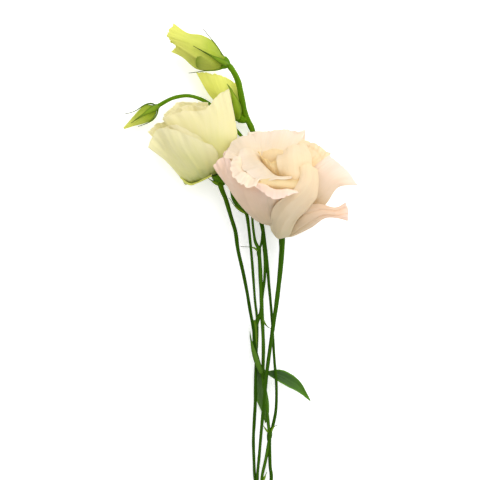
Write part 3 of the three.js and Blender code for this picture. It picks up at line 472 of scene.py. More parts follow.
OPEN_INNER_PETALS = [
    # frilled petal at the left, folded out over the outer one
    Petal([
        [[10, 48, 22], [9, 44, 26], [10, 42, 30], [13, 41, 33]],
        [[6, 66, 30], [6, 60, 36], [8, 55, 42], [12, 52, 45]],
        [[1, 70.5, 41], [0.5, 65.5, 47.5], [4, 61.5, 52.5], [10.5, 58.5, 56]],
        [[-2.4, 71.2, 42], [-4.2, 64.6, 49], [0, 57, 56], [8.5, 55.2, 59.5]],
    ], wave=0.8, waves=2.4, phase=0.2, frill=0.6, nicks=1.8),
    # petal folded out round the left of the heart
    Petal([
        [[12, 50, 22], [11, 46, 27], [14, 44, 32], [18, 43, 34], [23, 44, 35]],
        [[11, 66, 28], [12.5, 61.5, 33], [15.5, 58, 38], [19, 56, 41], [25, 55, 42]],
        [[7.5, 74, 34.5], [10, 69.5, 40.5], [14, 64.5, 46.5], [19, 60.8, 51], [26.5, 60, 53]],
        [[3, 75, 34.5], [5, 69, 42.5], [9.5, 63.5, 49], [15, 59.8, 53.2], [26, 59.5, 54]],
        [[0.4, 73.6, 36], [-0.2, 67.8, 43.5], [4.5, 61.5, 51.5], [11.5, 58.6, 54.5], [25.3, 59, 54.2]],
    ], wave=0.5, waves=2.3, phase=0.6),
    # petal that curls round the heart, its outer face to the front
    Petal([
        [[14, 50, 26], [15.5, 48, 28], [18, 47, 29], [21, 47, 29.5]],
        [[11, 69.5, 37.5], [13.6, 65, 42.5], [17.2, 62, 45.6], [21.5, 61.4, 46.2]],
        [[9.6, 73.4, 41], [12.6, 69.4, 44.8], [16, 67.8, 46.8], [19.2, 69.2, 46.2]],
    ], wave=0.4, waves=1.3, phase=0.1, tone=-1),
    # petal at the right of the heart
    Petal([
        [[20, 47, 29], [25, 47.5, 29], [30, 49, 26]],
        [[20.2, 60, 46.5], [27, 57.5, 50.6], [34.6, 58, 47.5]],
        [[19, 65.5, 50], [26.5, 65.5, 52], [36, 66, 48]],
        [[18.6, 69.2, 47], [26, 71, 48.5], [35.6, 71.6, 45.4]],
        [[19.5, 72.5, 39], [26.5, 76, 39], [33, 77.5, 36.5]],
    ], wave=0.4, waves=1.6, phase=0.5, frill=0.15, nicks=0.5, tone=-0.4),
    # inner petal at the back
    Petal([
        [[26, 52, 20], [19, 53.5, 18.5], [12.5, 52, 20]],
        [[26, 69, 33], [16.5, 68.8, 35], [7.5, 69.5, 34.5]],
        [[30, 76.5, 27.5], [17.5, 76.5, 29], [4, 76, 29]],
        [[33, 82.5, 22.5], [19.5, 84, 21], [4.5, 82.5, 21.5]],
    ], wave=0.6, waves=1.9, frill=0.25),
    # inner petal at the back left
    Petal([
        [[14.2, 52.1, 21], [10.1, 49.1, 23], [9.6, 47.1, 25], [9.6, 46.1, 26]],
        [[11.5, 71, 34.5], [7.5, 67, 37], [6.5, 64.5, 38.5], [6, 63, 39.5]],
        [[11, 76.5, 29.4], [2, 74.5, 33.5], [-0.5, 71, 37.5], [-1, 68.5, 40]],
        [[11.5, 83, 22.1], [-1.8, 79, 26], [-6, 73.8, 33], [-7.6, 69.4, 38]],
    ], wave=0.6, waves=1.7, phase=0.3, frill=0.3),
    # inner petal at the back right
    Petal([
        [[31, 47.5, 23], [30, 51, 20], [27, 53, 18]],
        [[35, 60, 40], [32, 66.5, 36], [25, 70, 30]],
        [[41, 65.5, 41.5], [37.5, 72, 36], [29, 76.5, 27.5]],
        [[45.5, 71.3, 39.5], [40, 76, 33.5], [32, 79.5, 27]],
    ], wave=0.5, waves=1.7, phase=0.8, folds=0.3, tone=-0.4, ridges=[
        [0.1, 0.62, 0.9, 0.62, 0.5, 0.05], [0.05, 0.8, 0.85, 0.82, 0.5, 0.04],
    ]),
    # small petal deep in the heart
    Petal([
        [[12, 56, 26], [16, 55, 27], [20, 56, 28]],
        [[11, 66.5, 38], [16, 66, 40], [21.5, 67, 41]],
        [[12, 73, 41.5], [17, 74.5, 42.5], [22, 73.5, 44]],
    ], wave=0.2, frill=0.1, nicks=0.2, tone=-0.6),
    # small petal behind the folded strip
    Petal([
        [[14, 43, 26], [20, 42, 28], [27, 43, 28]],
        [[10, 49, 43], [20, 48, 44], [28, 49, 44]],
        [[9, 55.6, 55.2], [20, 55.4, 57], [28.8, 54.6, 53.2]],
        [[8.6, 58.6, 54], [20, 60.2, 52.6], [30, 59.4, 50.6]],
    ], wave=0.2, phase=0.4, frill=0.1, nicks=0.2, tone=-1),
]

HALF_PETALS = [
    # front petal
    Petal([
        [[-25.8, 57, 8.5], [-21.5, 58.2, 12.5], [-16.5, 60.2, 17], [-12.8, 63.4, 18.5]],
        [[-29, 60, 9.5], [-25.5, 63, 19.5], [-20, 66, 25.5], [-11, 67.5, 24.5]],
        [[-37, 69.3, 14], [-34, 74, 23], [-26, 75.5, 28.4], [-10.5, 72, 26.8]],
        [[-45.8, 76, 19], [-40, 84.8, 23.6], [-28.8, 82.8, 27.6], [-13.4, 76.2, 27.9]],
    ], wave=0.7, waves=2.4, phase=0.2, frill=0.3, nicks=0.8, folds=0.25, tone=0.15),
    # underside petal at the left that lies on the floor
    Petal([
        [[-21, 61.5, 6.5], [-20.5, 66, 3.5], [-17, 70, 4.5]],
        [[-33, 69.5, 5.5], [-30, 75.5, -0.6], [-24, 79.5, 2.5]],
        [[-46, 83.2, 15], [-40.5, 87.5, 12], [-33, 89, 10]],
    ], wave=0.4, waves=1.5, phase=0.1),
    # back petal
    Petal([
        [[-20, 73, 7], [-15, 75.5, 6.5], [-9.5, 75, 7.5]],
        [[-30, 83, 9.5], [-23.5, 87, 8.5], [-14, 87, 9]],
        [[-38.3, 90.5, 17], [-30.5, 97.8, 15.5], [-15.5, 97.8, 15.5]],
    ], wave=0.6, waves=2.4, phase=0.5, nicks=1.1, frill=0.25),
    # broad right petal with the high peak
    Petal([
        [[-17, 64.5, 15.5], [-14.5, 64.3, 18], [-11.5, 63.8, 18.8], [-9, 64.2, 17.6], [-7.4, 66, 14.5]],
        [[-23, 69.5, 17], [-17.5, 69.5, 22.5], [-12, 69, 24], [-8.2, 69, 23.5], [-4.3, 70, 20.5]],
        [[-30.5, 78.5, 20.5], [-21.5, 80, 25.8], [-14, 80, 27.4], [-8, 80, 27.4], [-1, 79.5, 24]],
        [[-35.5, 86, 22], [-25, 88.5, 26.5], [-15.5, 90, 27.6], [-8.5, 91, 27.2], [-2, 89, 24.5]],
        [[-38.5, 89.5, 22], [-28, 93.5, 26], [-17.5, 94, 26.8], [-10.5, 101.5, 26.5], [-5.2, 104.5, 23.5]],
    ], wave=0.4, waves=2.2, frill=0.5, nicks=0.9, tone=-0.1),
    # back petal at the right
    Petal([
        [[-7, 73.5, 8], [-4, 72, 9], [-3.5, 71, 10.5]],
        [[-9.5, 86, 8.5], [-5, 85, 9], [-2.8, 82.5, 10.5]],
        [[-13, 97, 12], [-9, 99.5, 12.5], [-5, 98, 13.5]],
    ], wave=0.4, waves=1.3, phase=0.4),
    # inner petals with frilled rims
    Petal([
        [[-21, 72, 14.5], [-16, 74, 13], [-10, 74, 14.5]],
        [[-30, 81.5, 18.5], [-23, 86, 18], [-14, 85.5, 19]],
        [[-37, 91, 20.5], [-28, 96, 21], [-16.5, 96, 21.5]],
    ], wave=0.6, waves=2.3, phase=0.2, nicks=1.1, frill=0.25),
    Petal([
        [[-21.5, 67.5, 18], [-18, 69.5, 22], [-13, 70, 22.5]],
        [[-31, 76, 20.5], [-24, 78.5, 26.6], [-15, 78.5, 25.8]],
        [[-40.5, 84.5, 20.5], [-29.5, 87.5, 24.4], [-16.5, 88, 23.4]],
    ], wave=0.5, waves=1.9, phase=0.6, nicks=1, frill=0.25),
]

# Rolled lower edge of the half open bloom's front petal
HALF_EDGE = [
    Petal([
        [[-26, 60.5, 7], [-23, 59, 9], [-19, 60, 12], [-14, 62, 15]],
        [[-29.4, 60.2, 9.5], [-25, 56.7, 11.5], [-20.5, 57.7, 14.5], [-13.6, 61, 17.5]],
        [[-29.4, 60.6, 11.6], [-24.6, 57.4, 13.8], [-20.4, 58.4, 16.8], [-13.8, 61.8, 19.4]],
    ], frill=0.1, nicks=0.1),
]

TOP_PETALS = [
    Petal([
        [[-10.4, 117.2, 19.2], [-9.9, 120.6, 19.8], [-9.3, 123.6, 15.8]],
        [[-15, 118, 21], [-14.4, 122.8, 22.2], [-12.9, 128.4, 15.8]],
        [[-20.5, 119.5, 21.5], [-20.5, 125, 22], [-18.8, 131.7, 16]],
        [[-27, 123.5, 19.5], [-27.5, 128.5, 20], [-25.8, 132.9, 15]],
        [[-31.8, 127.2, 17.5], [-36, 131.4, 17.5], [-32.6, 137.6, 14.5]],
    ], wave=0.3, waves=1.8, phase=0.1, root=0.02, frill=0.3, nicks=2.2),
    Petal([
        [[-9.6, 117.9, 18.2], [-9.3, 114.8, 15], [-9.6, 117, 11]],
        [[-15, 119, 19.2], [-15, 114.2, 15], [-15, 117.4, 9]],
        [[-21.5, 121, 19.5], [-21.5, 115, 14.5], [-21.5, 118, 8.5]],
        [[-28, 124.3, 17.5], [-28.5, 120.6, 13.5], [-27.5, 122.3, 9.5]],
        [[-31, 126.3, 16], [-34, 123.2, 13], [-31, 125, 11]],
    ], wave=0.2, waves=1.2, phase=0.6, root=0.02, frill=0.3, nicks=1.2),
    Petal([
        [[-9.9, 124, 13.8], [-10.6, 121, 10.2], [-11, 118, 11.2]],
        [[-13.4, 127.4, 13.5], [-14.4, 122.6, 8], [-15, 118.7, 9.6]],
        [[-20.5, 129, 13.5], [-20.5, 124.5, 7], [-21, 119.5, 9]],
        [[-27.5, 131.5, 13.5], [-28, 127.5, 8.5], [-27.5, 123, 10]],
        [[-32.5, 135, 13.5], [-34.5, 129.5, 11], [-31, 126, 11.8]],
    ], wave=0.2, waves=1.5, phase=0.3, root=0.02),
    # short green lobe in front
    Petal([
        [[-9.4, 118.6, 18.6], [-9.6, 116.5, 18], [-9.8, 115, 16]],
        [[-13.4, 120.4, 20.6], [-13.8, 117.6, 20.8], [-14.4, 114.3, 17]],
        [[-18, 122.6, 22.2], [-18.6, 119, 21.8], [-19, 114.4, 17.6]],
        [[-20, 122, 22.2], [-21.6, 119.2, 21.4], [-21.4, 115.8, 18.6]],
    ], wave=0.1, root=0.02, frill=0.1, nicks=0.2, tone=-0.9),
]

SECOND_PETALS = [
    Petal([
        [[-7.5, 95.5, 8.5], [-4.8, 96.6, 11], [-1.8, 97.2, 11.2], [1, 97.5, 9]],
        [[-14.6, 101.5, 9], [-10.8, 103, 12.6], [-5.6, 103.5, 13], [0, 103.5, 9.8]],
        [[-21.6, 113.4, 10.5], [-15, 112.8, 13], [-8.6, 111.4, 13.4], [-1.2, 107.6, 10.8]],
    ], wave=0.12, waves=1.8, phase=0.2, root=0.15, folds=0.03, nicks=1.5, frill=0.15),
    Petal([
        [[0, 97.3, 6.5], [-3.5, 96.8, 3.5], [-7, 95.8, 6.5]],
        [[-1.6, 103, 7], [-9, 102.5, 3.2], [-14, 101.8, 6.5]],
        [[-2.4, 106, 8], [-12.5, 110.6, 5.6], [-20.6, 112, 8.4]],
    ], wave=0.3, waves=1.6, phase=0.5, root=0.15),
]

STEMS = [
    # to the open bloom
    Stem([
        [21.5, 31.7, 9.4], [21.5, 24, 9.8], [20.5, 11.5, 10], [18.75, -3.5, 9.7], [17.25, -13.5, 9.6],
        [15.5, -26, 9.8], [14, -37.5, 9.8], [12.8, -50, 9.4], [11.5, -63.5, 7.8], [10.25, -78.5, 5.8],
        [9.25, -91, 4.4], [10, -103, 3.3], [12, -114, 2.6],
    ], [1.5, 1.15, 0.95, 0.85, 0.75, 0.7, 0.8], pale=0.3),
    # to the half open bloom
    Stem([
        [-9.6, 57.5, 12.6], [-8.5, 54, 12.4], [-6.5, 49, 11.4], [-4, 40.5, 10.5], [-1.75, 33, 10],
        [-0.5, 24, 9.8], [2, 13, 9.5], [4, 3, 9.3], [5.5, -6, 9.2], [7.25, -16, 9], [7.75, -23.5, 8.6],
        [9.5, -31, 7.2], [11.7, -38.5, 5.6],
    ], [1.3, 1.0, 0.9, 0.78, 0.75, 0.85], pale=0),
    # to the green closed bud
    Stem([
        [3.6, 43.3, 8], [4.75, 36.5, 7.6], [6.5, 19, 6.8], [8, -1, 6.2], [8.9, -8.7, 5.7],
        [9.2, -18.5, 4.9], [8.6, -31, 5], [8.3, -40, 5], [8.25, -51, 5], [7.75, -61, 4.8], [7.25, -71, 4.6],
        [7.5, -81, 4.2], [8, -91, 3.6], [9.5, -103, 3], [12, -114, 2.5],
    ], [0.9, 0.65, 0.6, 0.65, 0.8, 0.75, 0.7, 0.8], pale=0.2),
    # thin stem between them
    Stem([
        [8.8, 52, 3.8], [7.4, 46, 4.6], [6.7, 40, 5.4], [8, 29, 6], [10, 23, 6.2], [11, 6.5, 6.1],
        [11.5, -7, 5.9], [12.25, -23.5, 5.7], [12, -38.5, 5.5],
    ], [0.6, 0.55, 0.65, 0.9, 0.95, 0.85, 0.8], pale=0.6),
    # the stem of the buds, below the open bloom and down to the lower node
    Stem([
        [-5.4, 116.8, 15.2], [-3.7, 114.8, 15.6], [-1.5, 111, 15.8], [0, 107, 15], [1, 102, 13.5],
        [2, 97, 11], [3, 92.5, 8], [4.5, 89, 5.8], [6, 86, 4.6], [7, 83, 4], [8.5, 75, 3.5], [9, 65, 3.3],
        [9.5, 52, 3.5], [10.5, 42, 4.2], [12, 34, 5], [13, 26.5, 5.6], [14.25, 16.5, 6], [15, 7, 6],
        [16, -3.5, 5.8], [16.75, -13.5, 5.6], [17.75, -31, 8.8], [18.75, -43.5, 9.6], [18.6, -56, 5.4],
        [17, -64.5, 5], [15.5, -69.5, 5], [15.6, -83.5, 4.4], [16.25, -91, 3.9], [15, -103.5, 3.2],
        [13, -114, 2.6],
    ], [1.3, 1.42, 1.36, 1.2, 0.75, 0.65, 0.8, 0.8]),
    # second strand of that stem
    Stem([
        [12.2, 32, 5.2], [12.6, 26, 5.8], [13.1, 18, 6.3], [12.9, 10, 6.3], [12.2, 4, 6.1], [11.5, -2, 6],
    ], [0.9, 0.75, 0.65, 0.6]),
    # from the upper node to the lower node
    Stem([
        [11.7, -36.5, 5.6], [12.2, -42, 5.5], [13, -48.5, 5.4], [14, -56, 5.2], [14.75, -63.5, 5.1],
        [15.3, -69.5, 5], [14.5, -76, 4.8], [13, -83.5, 4.4], [11.5, -91, 3.9], [11.3, -103, 3.1],
        [12.2, -114, 2.5],
    ], [0.9, 0.7, 0.75, 0.8, 0.7, 0.8], pale=0.7),
    # main stem with its plain cut end
    Stem([
        [12.2, -107, 2.2], [12.2, -113, MAIN_STEM_Z], [12.4, -121, MAIN_STEM_Z],
        [12.5, -136.5, MAIN_STEM_Z],
    ], [1.7, MAIN_STEM_R, MAIN_STEM_R, MAIN_STEM_R]),
    # stalk of the second bud
    Stem([[4, 89.6, 6.4], [2, 89.7, 6.8], [0.4, 90.3, 7.2]], [1.5, 1.9, 2.3]),
    # stalk of the small bud, behind the half open bloom
    Stem([
        [-40.9, 96.2, 8.9], [-37, 98.5, 9], [-33.5, 100.2, 8.8], [-29.5, 101.2, 8.4], [-25.5, 101.5, 7.6],
        [-21, 100.5, 6], [-16, 98.2, 4], [-10, 93.5, 2.4], [-4, 87, 1.9], [-0.5, 83.3, 2], [3.5, 78.5, 2.6],
        [8.2, 72, 3.3],
    ], [0.95, 0.85, 0.85, 0.8]),
    # twig beside the thin stem
    Stem([[10, 23.5, 6.2], [11.3, 28, 5.6], [12, 34.5, 5]], [0.6, 0.55, 0.6]),
]

# Points and radii of the calyx under each bloom, of the nodes and of the closed green bud
SWELLINGS = [
    (OPEN.seat(3), [1.4, 2.3, 2.6]),
    ([OPEN.along(d) for d in (-0.6, 1.4, 3.4, 5.4)], [2.4, 3.9, 4.8, 4.75]),
    (HALF.seat(7), [1.5, 3.0, 3.3]),
    ([TOP.along(d) for d in (-2.4, -1.2, 1.1)], [1.2, 2.4, 3.55]),
    (SECOND.seat(2.4), [1.7, 2.6, 2.9]),
    (SMALL.seat(2.6), [0.9, 1.5, 2.1]),
    ([[10.4, 25, 6.1], [10, 22.8, 6.2], [10.1, 20.5, 6.2]], [0.7, 1.15, 0.8]),
    ([[11.3, -3.5, 6], [11.1, -8, 6], [9.4, -11, 5.8], [8.6, -15, 5.4]], [0.85, 1.15, 1.1, 0.8]),
    ([[11.5, -35, 5.8], [12, -37.6, 5.6], [12.3, -41, 5.5]], [0.8, 1.5, 0.9]),
    ([[15.7, -66.5, 5], [15.4, -69, 5], [15, -72, 4.9]], [0.8, 1.35, 0.9]),
    ([[4, 42.5, 8], [1.5, 46.5, 8.4], [-1.5, 50.5, 8.8], [-4.2, 54, 9.2]], [1.2, 2.7, 2.5, 0.5]),
]

BLADES = [
    # open bloom, at the sides and the back
    Blade([[20.4, 32.2, 8], [15.5, 38, 7.6], [12, 43.5, 8.6]], side=[0.7, 0.7, 0.1], width=2.4),
    Blade([[21.5, 32.2, 7.4], [20, 37, 3.4], [18.5, 43, 3.2]], side=[1, 0, 0], width=2.4),
    Blade([[22.4, 32.2, 8.4], [27, 35.5, 7.8], [32, 39, 8.6]], side=[0.5, -0.86, 0], width=2.2),
    # half open bloom
    Blade([[-9.4, 56.6, 12.8], [-12.8, 58.2, 13], [-15.9, 60.3, 13.4]], side=[0.5, 0.86, -0.2], width=2.4),
    Blade([[-9.5, 58, 12], [-5.6, 63, 10.5], [-3.6, 69.5, 9.5]], side=[0.4, -0.2, 0.9], width=2.4),
    Blade([[-10.2, 58.5, 11], [-13.4, 63, 7.2], [-16, 67.5, 4.6]], side=[0.86, 0.5, 0], width=2.4),
    # top bud
    Blade([
        [-6.2, 118, 15.6], [-7, 120, 15.8], [-8.7, 122.6, 16], [-10.6, 125.7, 16.2], [-13, 128.9, 16.2],
        [-15.1, 131.3, 16], [-17.9, 134.8, 15.8],
    ], side=[0, 0.3, 1], width=2.2),
    Blade([
        [-5.8, 117.1, 16.6], [-7.2, 117.7, 19.4], [-9.6, 118.9, 21.6], [-12.8, 120.5, 23.2],
        [-17.2, 122.9, 24], [-22.8, 126, 23.8],
    ], side=[0.46, 0.886, 0], width=3.6),
    Blade([
        [-6.3, 116.6, 15], [-8.4, 115.2, 15.3], [-12, 114.2, 15.5], [-17, 113.9, 15.5], [-21, 113.3, 15.2],
        [-25.3, 112.7, 14.8],
    ], side=[0, 0.3, 1], width=2.2),
    Blade([
        [-6.2, 117.2, 14], [-7.8, 118, 11.6], [-12, 119, 6.8], [-17, 121.5, 5], [-23, 124, 4.8],
    ], side=[-0.5, 0.86, 0.1], width=2.6),
    # second bud
    Blade([[1, 90.6, 7.4], [2.3, 95.4, 8], [1.2, 101.5, 8.4]], side=[0.2, 0.1, 1], width=2.0),
    Blade([
        [-0.4, 90.4, 8.8], [-0.8, 94, 12.2], [-1.9, 99, 14.2], [-3.9, 104, 15], [-6, 107.4, 15.3],
    ], side=[0.92, 0.38, 0], width=6, tint=1),
    # small bud
    Blade([
        [-41.2, 96.2, 9.6], [-43.6, 97.6, 9.4], [-46.4, 97.3, 9.3], [-49, 96, 9.2], [-51.3, 94.4, 9.1],
        [-54.2, 93.1, 8.9], [-57.2, 92.4, 8.6],
    ], side=[0, 0.3, 1], width=2.0),
    Blade([
        [-40.9, 94.4, 9.4], [-41.5, 92, 9.3], [-43, 89.7, 9.2], [-45.4, 88.1, 9], [-48, 87, 8.6],
        [-50.8, 86, 8.2],
    ], side=[0, 0.3, 1], width=2.0),
    Blade([
        [-40.9, 96, 10], [-42.6, 95.1, 12.2], [-44.6, 93.9, 13.2], [-47.2, 92.4, 13.3], [-50.6, 90.2, 12.4],
        [-54, 87.8, 10.6],
    ], side=[-0.5, 0.8, 0], width=4.0, tint=0.5),
    # closed green bud
    Blade([
        [3.2, 42.4, 9.4], [0.2, 44.3, 9.6], [-2.6, 46.7, 9.8], [-4.9, 50.2, 10],
    ], side=[0.69, 0.72, 0], width=1.6, tint=1),
    # bracts at the nodes
    Blade([[9.6, 23.2, 6.4], [7, 25.2, 7.2], [0.8, 25.7, 7.4]], side=[0.1, 1, 0], width=1.4),
    Blade([
        [11.6, -9.6, 6.4], [12.8, -12.6, 7], [14.4, -14.6, 7.4], [16.2, -15.6, 7.6],
    ], side=[0.75, 0.66, 0], width=1.3, tint=-0.5),
    Blade([
        [11.3, -38, 6.8], [9.2, -32.5, 8.4], [7.1, -26, 9.6], [5.8, -20, 10], [5.5, -16.8, 10],
    ], side=[0.95, 0.3, 0], width=3.7, tint=-0.8),
    Blade([
        [7.6, -11.2, 6.8], [8.1, -18, 6.8], [8.8, -26, 6.4], [9.8, -34, 6],
    ], side=[1, 0.05, 0], width=3.0, tint=-0.4),
    Blade([[12.2, -92, 4.8], [13.2, -89.6, 6], [14, -87.6, 6.4]], side=[0.86, -0.5, 0], width=1.4),
    Blade([[15.8, -68, 5.2], [17.5, -65, 6], [19.5, -64, 6.4]], side=[0.5, -0.86, 0], width=1.2),
    Blade([[14.8, -68, 5.2], [13, -65.5, 6], [11.7, -63.4, 6.2]], side=[0.7, 0.7, 0], width=1.2),
]

LEAF_RIGHT = [
    [[13.9, -38.4, 7], [14.1, -37.6, 6.7], [14.3, -36.9, 7]],
    [[19, -41.6, 8.2], [20, -38.9, 7.4], [20.5, -36.1, 8.2]],
    [[24.2, -44.6, 8.7], [25.3, -41.8, 7.6], [26, -38.2, 8.6]],
    [[30, -47.6, 8.2], [30.6, -45.2, 7.2], [31.2, -42.8, 8.2]],
    [[35.6, -51.9, 6.6], [35.8, -51.8, 6.5], [36, -51.6, 6.6]],
]

LEAF_HANGING = [
    [[8.3, -35.4, 3.6], [9.8, -34.8, 3.5], [11.4, -35.6, 3.6]],
    [[7.9, -43, 2], [10.6, -43.5, 1.4], [13.4, -44, 2]],
    [[8.7, -51, 1.5], [12.1, -51.8, 1], [15, -52.3, 1.7]],
    [[11.2, -57, 1.5], [13.2, -57.6, 1.1], [15, -58, 1.7]],
    [[13.1, -62.8, 1.6], [13.4, -63, 1.6], [13.7, -63, 1.6]],
]


# Building the pieces

def rooted(rows, bloom, height):
    """The net with a root row that lies inside the receptacle."""
    heart = np.array(bloom.along(SEAT_GAP + bloom.length * height))
    depth = max(bloom.radii) * ROOT_DEPTH
    reach = np.array(rows[0], float) - heart
    root = heart + unit(reach) * depth
    return [root.tolist(), *rows]


def ridge_lift(ridge, grid_u, grid_v):
    """Height of a soft ridge that runs between two places on a petal."""
    u0, v0, u1, v1, height, width = ridge
    run = np.array([u1 - u0, v1 - v0])
    place = np.stack([grid_u, grid_v], -1) - np.array([u0, v0])
    share = np.clip(place @ run / (run @ run), 0, 1)
    off = np.linalg.norm(place - share[..., None] * run, axis=-1)
    return height * np.exp(-((off / width) ** 2))


def petal_points(petal, rows, u, v, rng):
    """The petal's surface with the part's low waves, fine frills, folds, ridges and a nicked rim."""
    points = net(rows, u, v)
    _, dv, normal = surface_axes(points, u, v)
    grid_u, grid_v = np.meshgrid(u, v)
    low_wave = np.sin(2 * np.pi * (petal.waves * grid_u + petal.phase))
    lift = petal.wave * smooth(WAVE_START, 1, grid_v) * low_wave
    frill = uneven(grid_u + FRILL_LEAN * grid_v, petal.waves * FRILL_RATE, rng)
    lift = lift + petal.frill * smooth(FRILL_START, 1, grid_v) * frill
    folds = uneven(grid_u, petal.waves * FOLD_RATE, rng)
    lift = lift + petal.folds * np.sin(np.pi * grid_v) * folds
    for ridge in petal.ridges:
        lift = lift + ridge_lift(ridge, grid_u, grid_v)
    nicks = scallops(grid_u, petal.waves * NICK_RATE, rng)
    reach = petal.nicks * smooth(NICK_START, 1, grid_v) * nicks
    return points + normal * lift[..., None] + dv * reach[..., None]


def add_petal(shape, petal, bloom, rng):
    """One petal. Toward its rim it is thinner and its rows of cells lie closer together."""
    u = even(PETAL_CELLS)
    v = 1 - (1 - u) ** PETAL_GRADING
    points = petal_points(petal, rooted(petal.rows, bloom, petal.root), u, v, rng)
    thick = PETAL_THICK * (1 - (1 - RIM_THICK_SHARE) * v)[:, None] * np.ones((1, len(u)))
    add_sheet(shape, points, u, v, thick, petal.tone)


def add_core(shape, bloom):
    """The receptacle that the petals grow out of."""
    last = len(bloom.radii) - 1
    points = [bloom.along(SEAT_GAP + bloom.length * k / last) for k in range(last + 1)]
    add_tube(shape, points, bloom.radii, CORE_CELLS)


def bloom_piece(name, material, petals, bloom, seed, with_core=True):
    """Some petals of one bloom, with the receptacle unless another piece holds it."""
    shape = Shape()
    rng = np.random.default_rng(seed)
    if with_core:
        add_core(shape, bloom)
    for petal in petals:
        add_petal(shape, petal, bloom, rng)
    return shape.build(name, material)


def small_bud_piece(material):
    """The small bud: five petals furled in one spiral, each edge a low step on a pointed spindle."""
    sides, rings = SMALL_BUD_CELLS
    direction = unit(np.array(SMALL.axis, float))
    side = unit(np.cross(direction, [0, 0, 1]))
    up = np.cross(side, direction)
    t = even(rings)[:, None]
    column = np.arange(sides)[None, :]
    angle = 2 * np.pi * column / sides - SMALL_FOLDS["twist"] * t
    turn = np.broadcast_to((SMALL_FOLDS["count"] * column / sides) % 1, angle.shape)
    fold = SMALL_FOLDS["depth"] * smooth(*SMALL_FOLDS["rise"], t) * turn
    radius = curve([[r] for r in SMALL.radii], t[:, 0]) * (1 - fold)
    middle = np.array(SMALL.base) + np.array(SMALL.axis) * (SEAT_GAP + SMALL.length * t)
    points = ring_points(middle, side, up, radius, angle)
    share = np.broadcast_to(t, radius.shape)
    shape = Shape()
    shape.add(points.reshape(-1, 3), grown(turn, share, 0.0), *ring_faces(sides, rings))
    return shape.build("small_bud_petals", material)


def blade_width(t, width):
    """Width of a sepal: it swells from its root, then tapers to its tip."""
    swell = SEPAL_ROOT_SHARE + (1 - SEPAL_ROOT_SHARE) * np.sin(np.pi * np.minimum(t * SEPAL_SWELL_RATE, 1))
    return np.maximum(SEPAL_TIP_WIDTH, width * swell * (1 - t) ** SEPAL_TAPER)


def add_sepal(shape, blade):
    """A narrow keeled blade that ends in a hair-thin tip."""
    u, v = (even(cells) for cells in SEPAL_CELLS)
    line = curve(blade.points, v)
    across = unit(np.array(blade.side, float))
    normal = unit(np.cross(np.broadcast_to(across, line.shape), np.gradient(line, axis=0)))
    width = blade_width(v, blade.width)
    place = (u - 0.5)[None, :]
    keel = SEPAL_KEEL * blade.width * (np.cos(np.pi * place) ** 2) * (1 - v)[:, None]
    points = line[:, None] + across * (place * width[:, None])[..., None] + normal[:, None] * keel[..., None]
    middle_thick = SEPAL_EDGE_THICK + (1 - SEPAL_EDGE_THICK) * np.cos(np.pi * place)
    thick = SEPAL_THICK * middle_thick * (1 - SEPAL_TIP_THINNING * v)[:, None]
    add_sheet(shape, points, u, v, thick, blade.tint)


def stems_piece(material, seed):
    """All stems, with the swellings at their nodes and the calyces under the blooms."""
    shape = Shape()
    rng = np.random.default_rng(seed)
    for stem in STEMS:
        length = sum(math.dist(a, b) for a, b in zip(stem.points, stem.points[1:]))
        cells = (STEM_SIDES, max(STEM_LEAST_CELLS, round(length / STEM_STEP)))
        radii = [r * STEM_FULLNESS for r in stem.radii]
        add_tube(shape, stem.points, radii, cells, stem.pale, STEM_RIDGES, rng)
    for points, radii in SWELLINGS:
        add_tube(shape, points, radii, SWELLING_CELLS, SWELLING_PALE, SWELLING_RIDGES)
    return shape.build("stems_and_calyces", material)


def sepals_piece(material):
    shape = Shape()
    for blade in BLADES:
        add_sepal(shape, blade)
    return shape.build("sepals_and_bracts", material)


def leaf_piece(name, rows, material, seed, tone):
    """A leaf with its midrib sunk on the upper face and a faintly waved margin."""
    u, v = (even(cells) for cells in LEAF_CELLS)
    points = net(rows, u, v)
    _, _, normal = surface_axes(points, u, v)
    rng = np.random.default_rng(seed)
    grid_u, grid_v = np.meshgrid(u, v)
    off_rib = np.abs(grid_u - 0.5) * 2
    rib = -RIB["depth"] * np.exp(-((off_rib / RIB["width"]) ** 2)) * (1 - grid_v)
    off_vein = off_rib - 0.5 * np.sin(np.pi * grid_v) ** 0.5
    side_veins = -SIDE_VEIN["depth"] * np.exp(-((off_vein / SIDE_VEIN["width"]) ** 2))
    margin = MARGIN_WAVE * smooth(MARGIN_START, 1, off_rib) * uneven(grid_v, MARGIN_WAVES, rng)
    points = points + normal * (rib + side_veins + margin)[..., None]
    shape = Shape()
    add_sheet(shape, points, u, v, LEAF_THICK * (1 - 0.5 * off_rib), tone)
    return shape.build(name, material)


# Materials

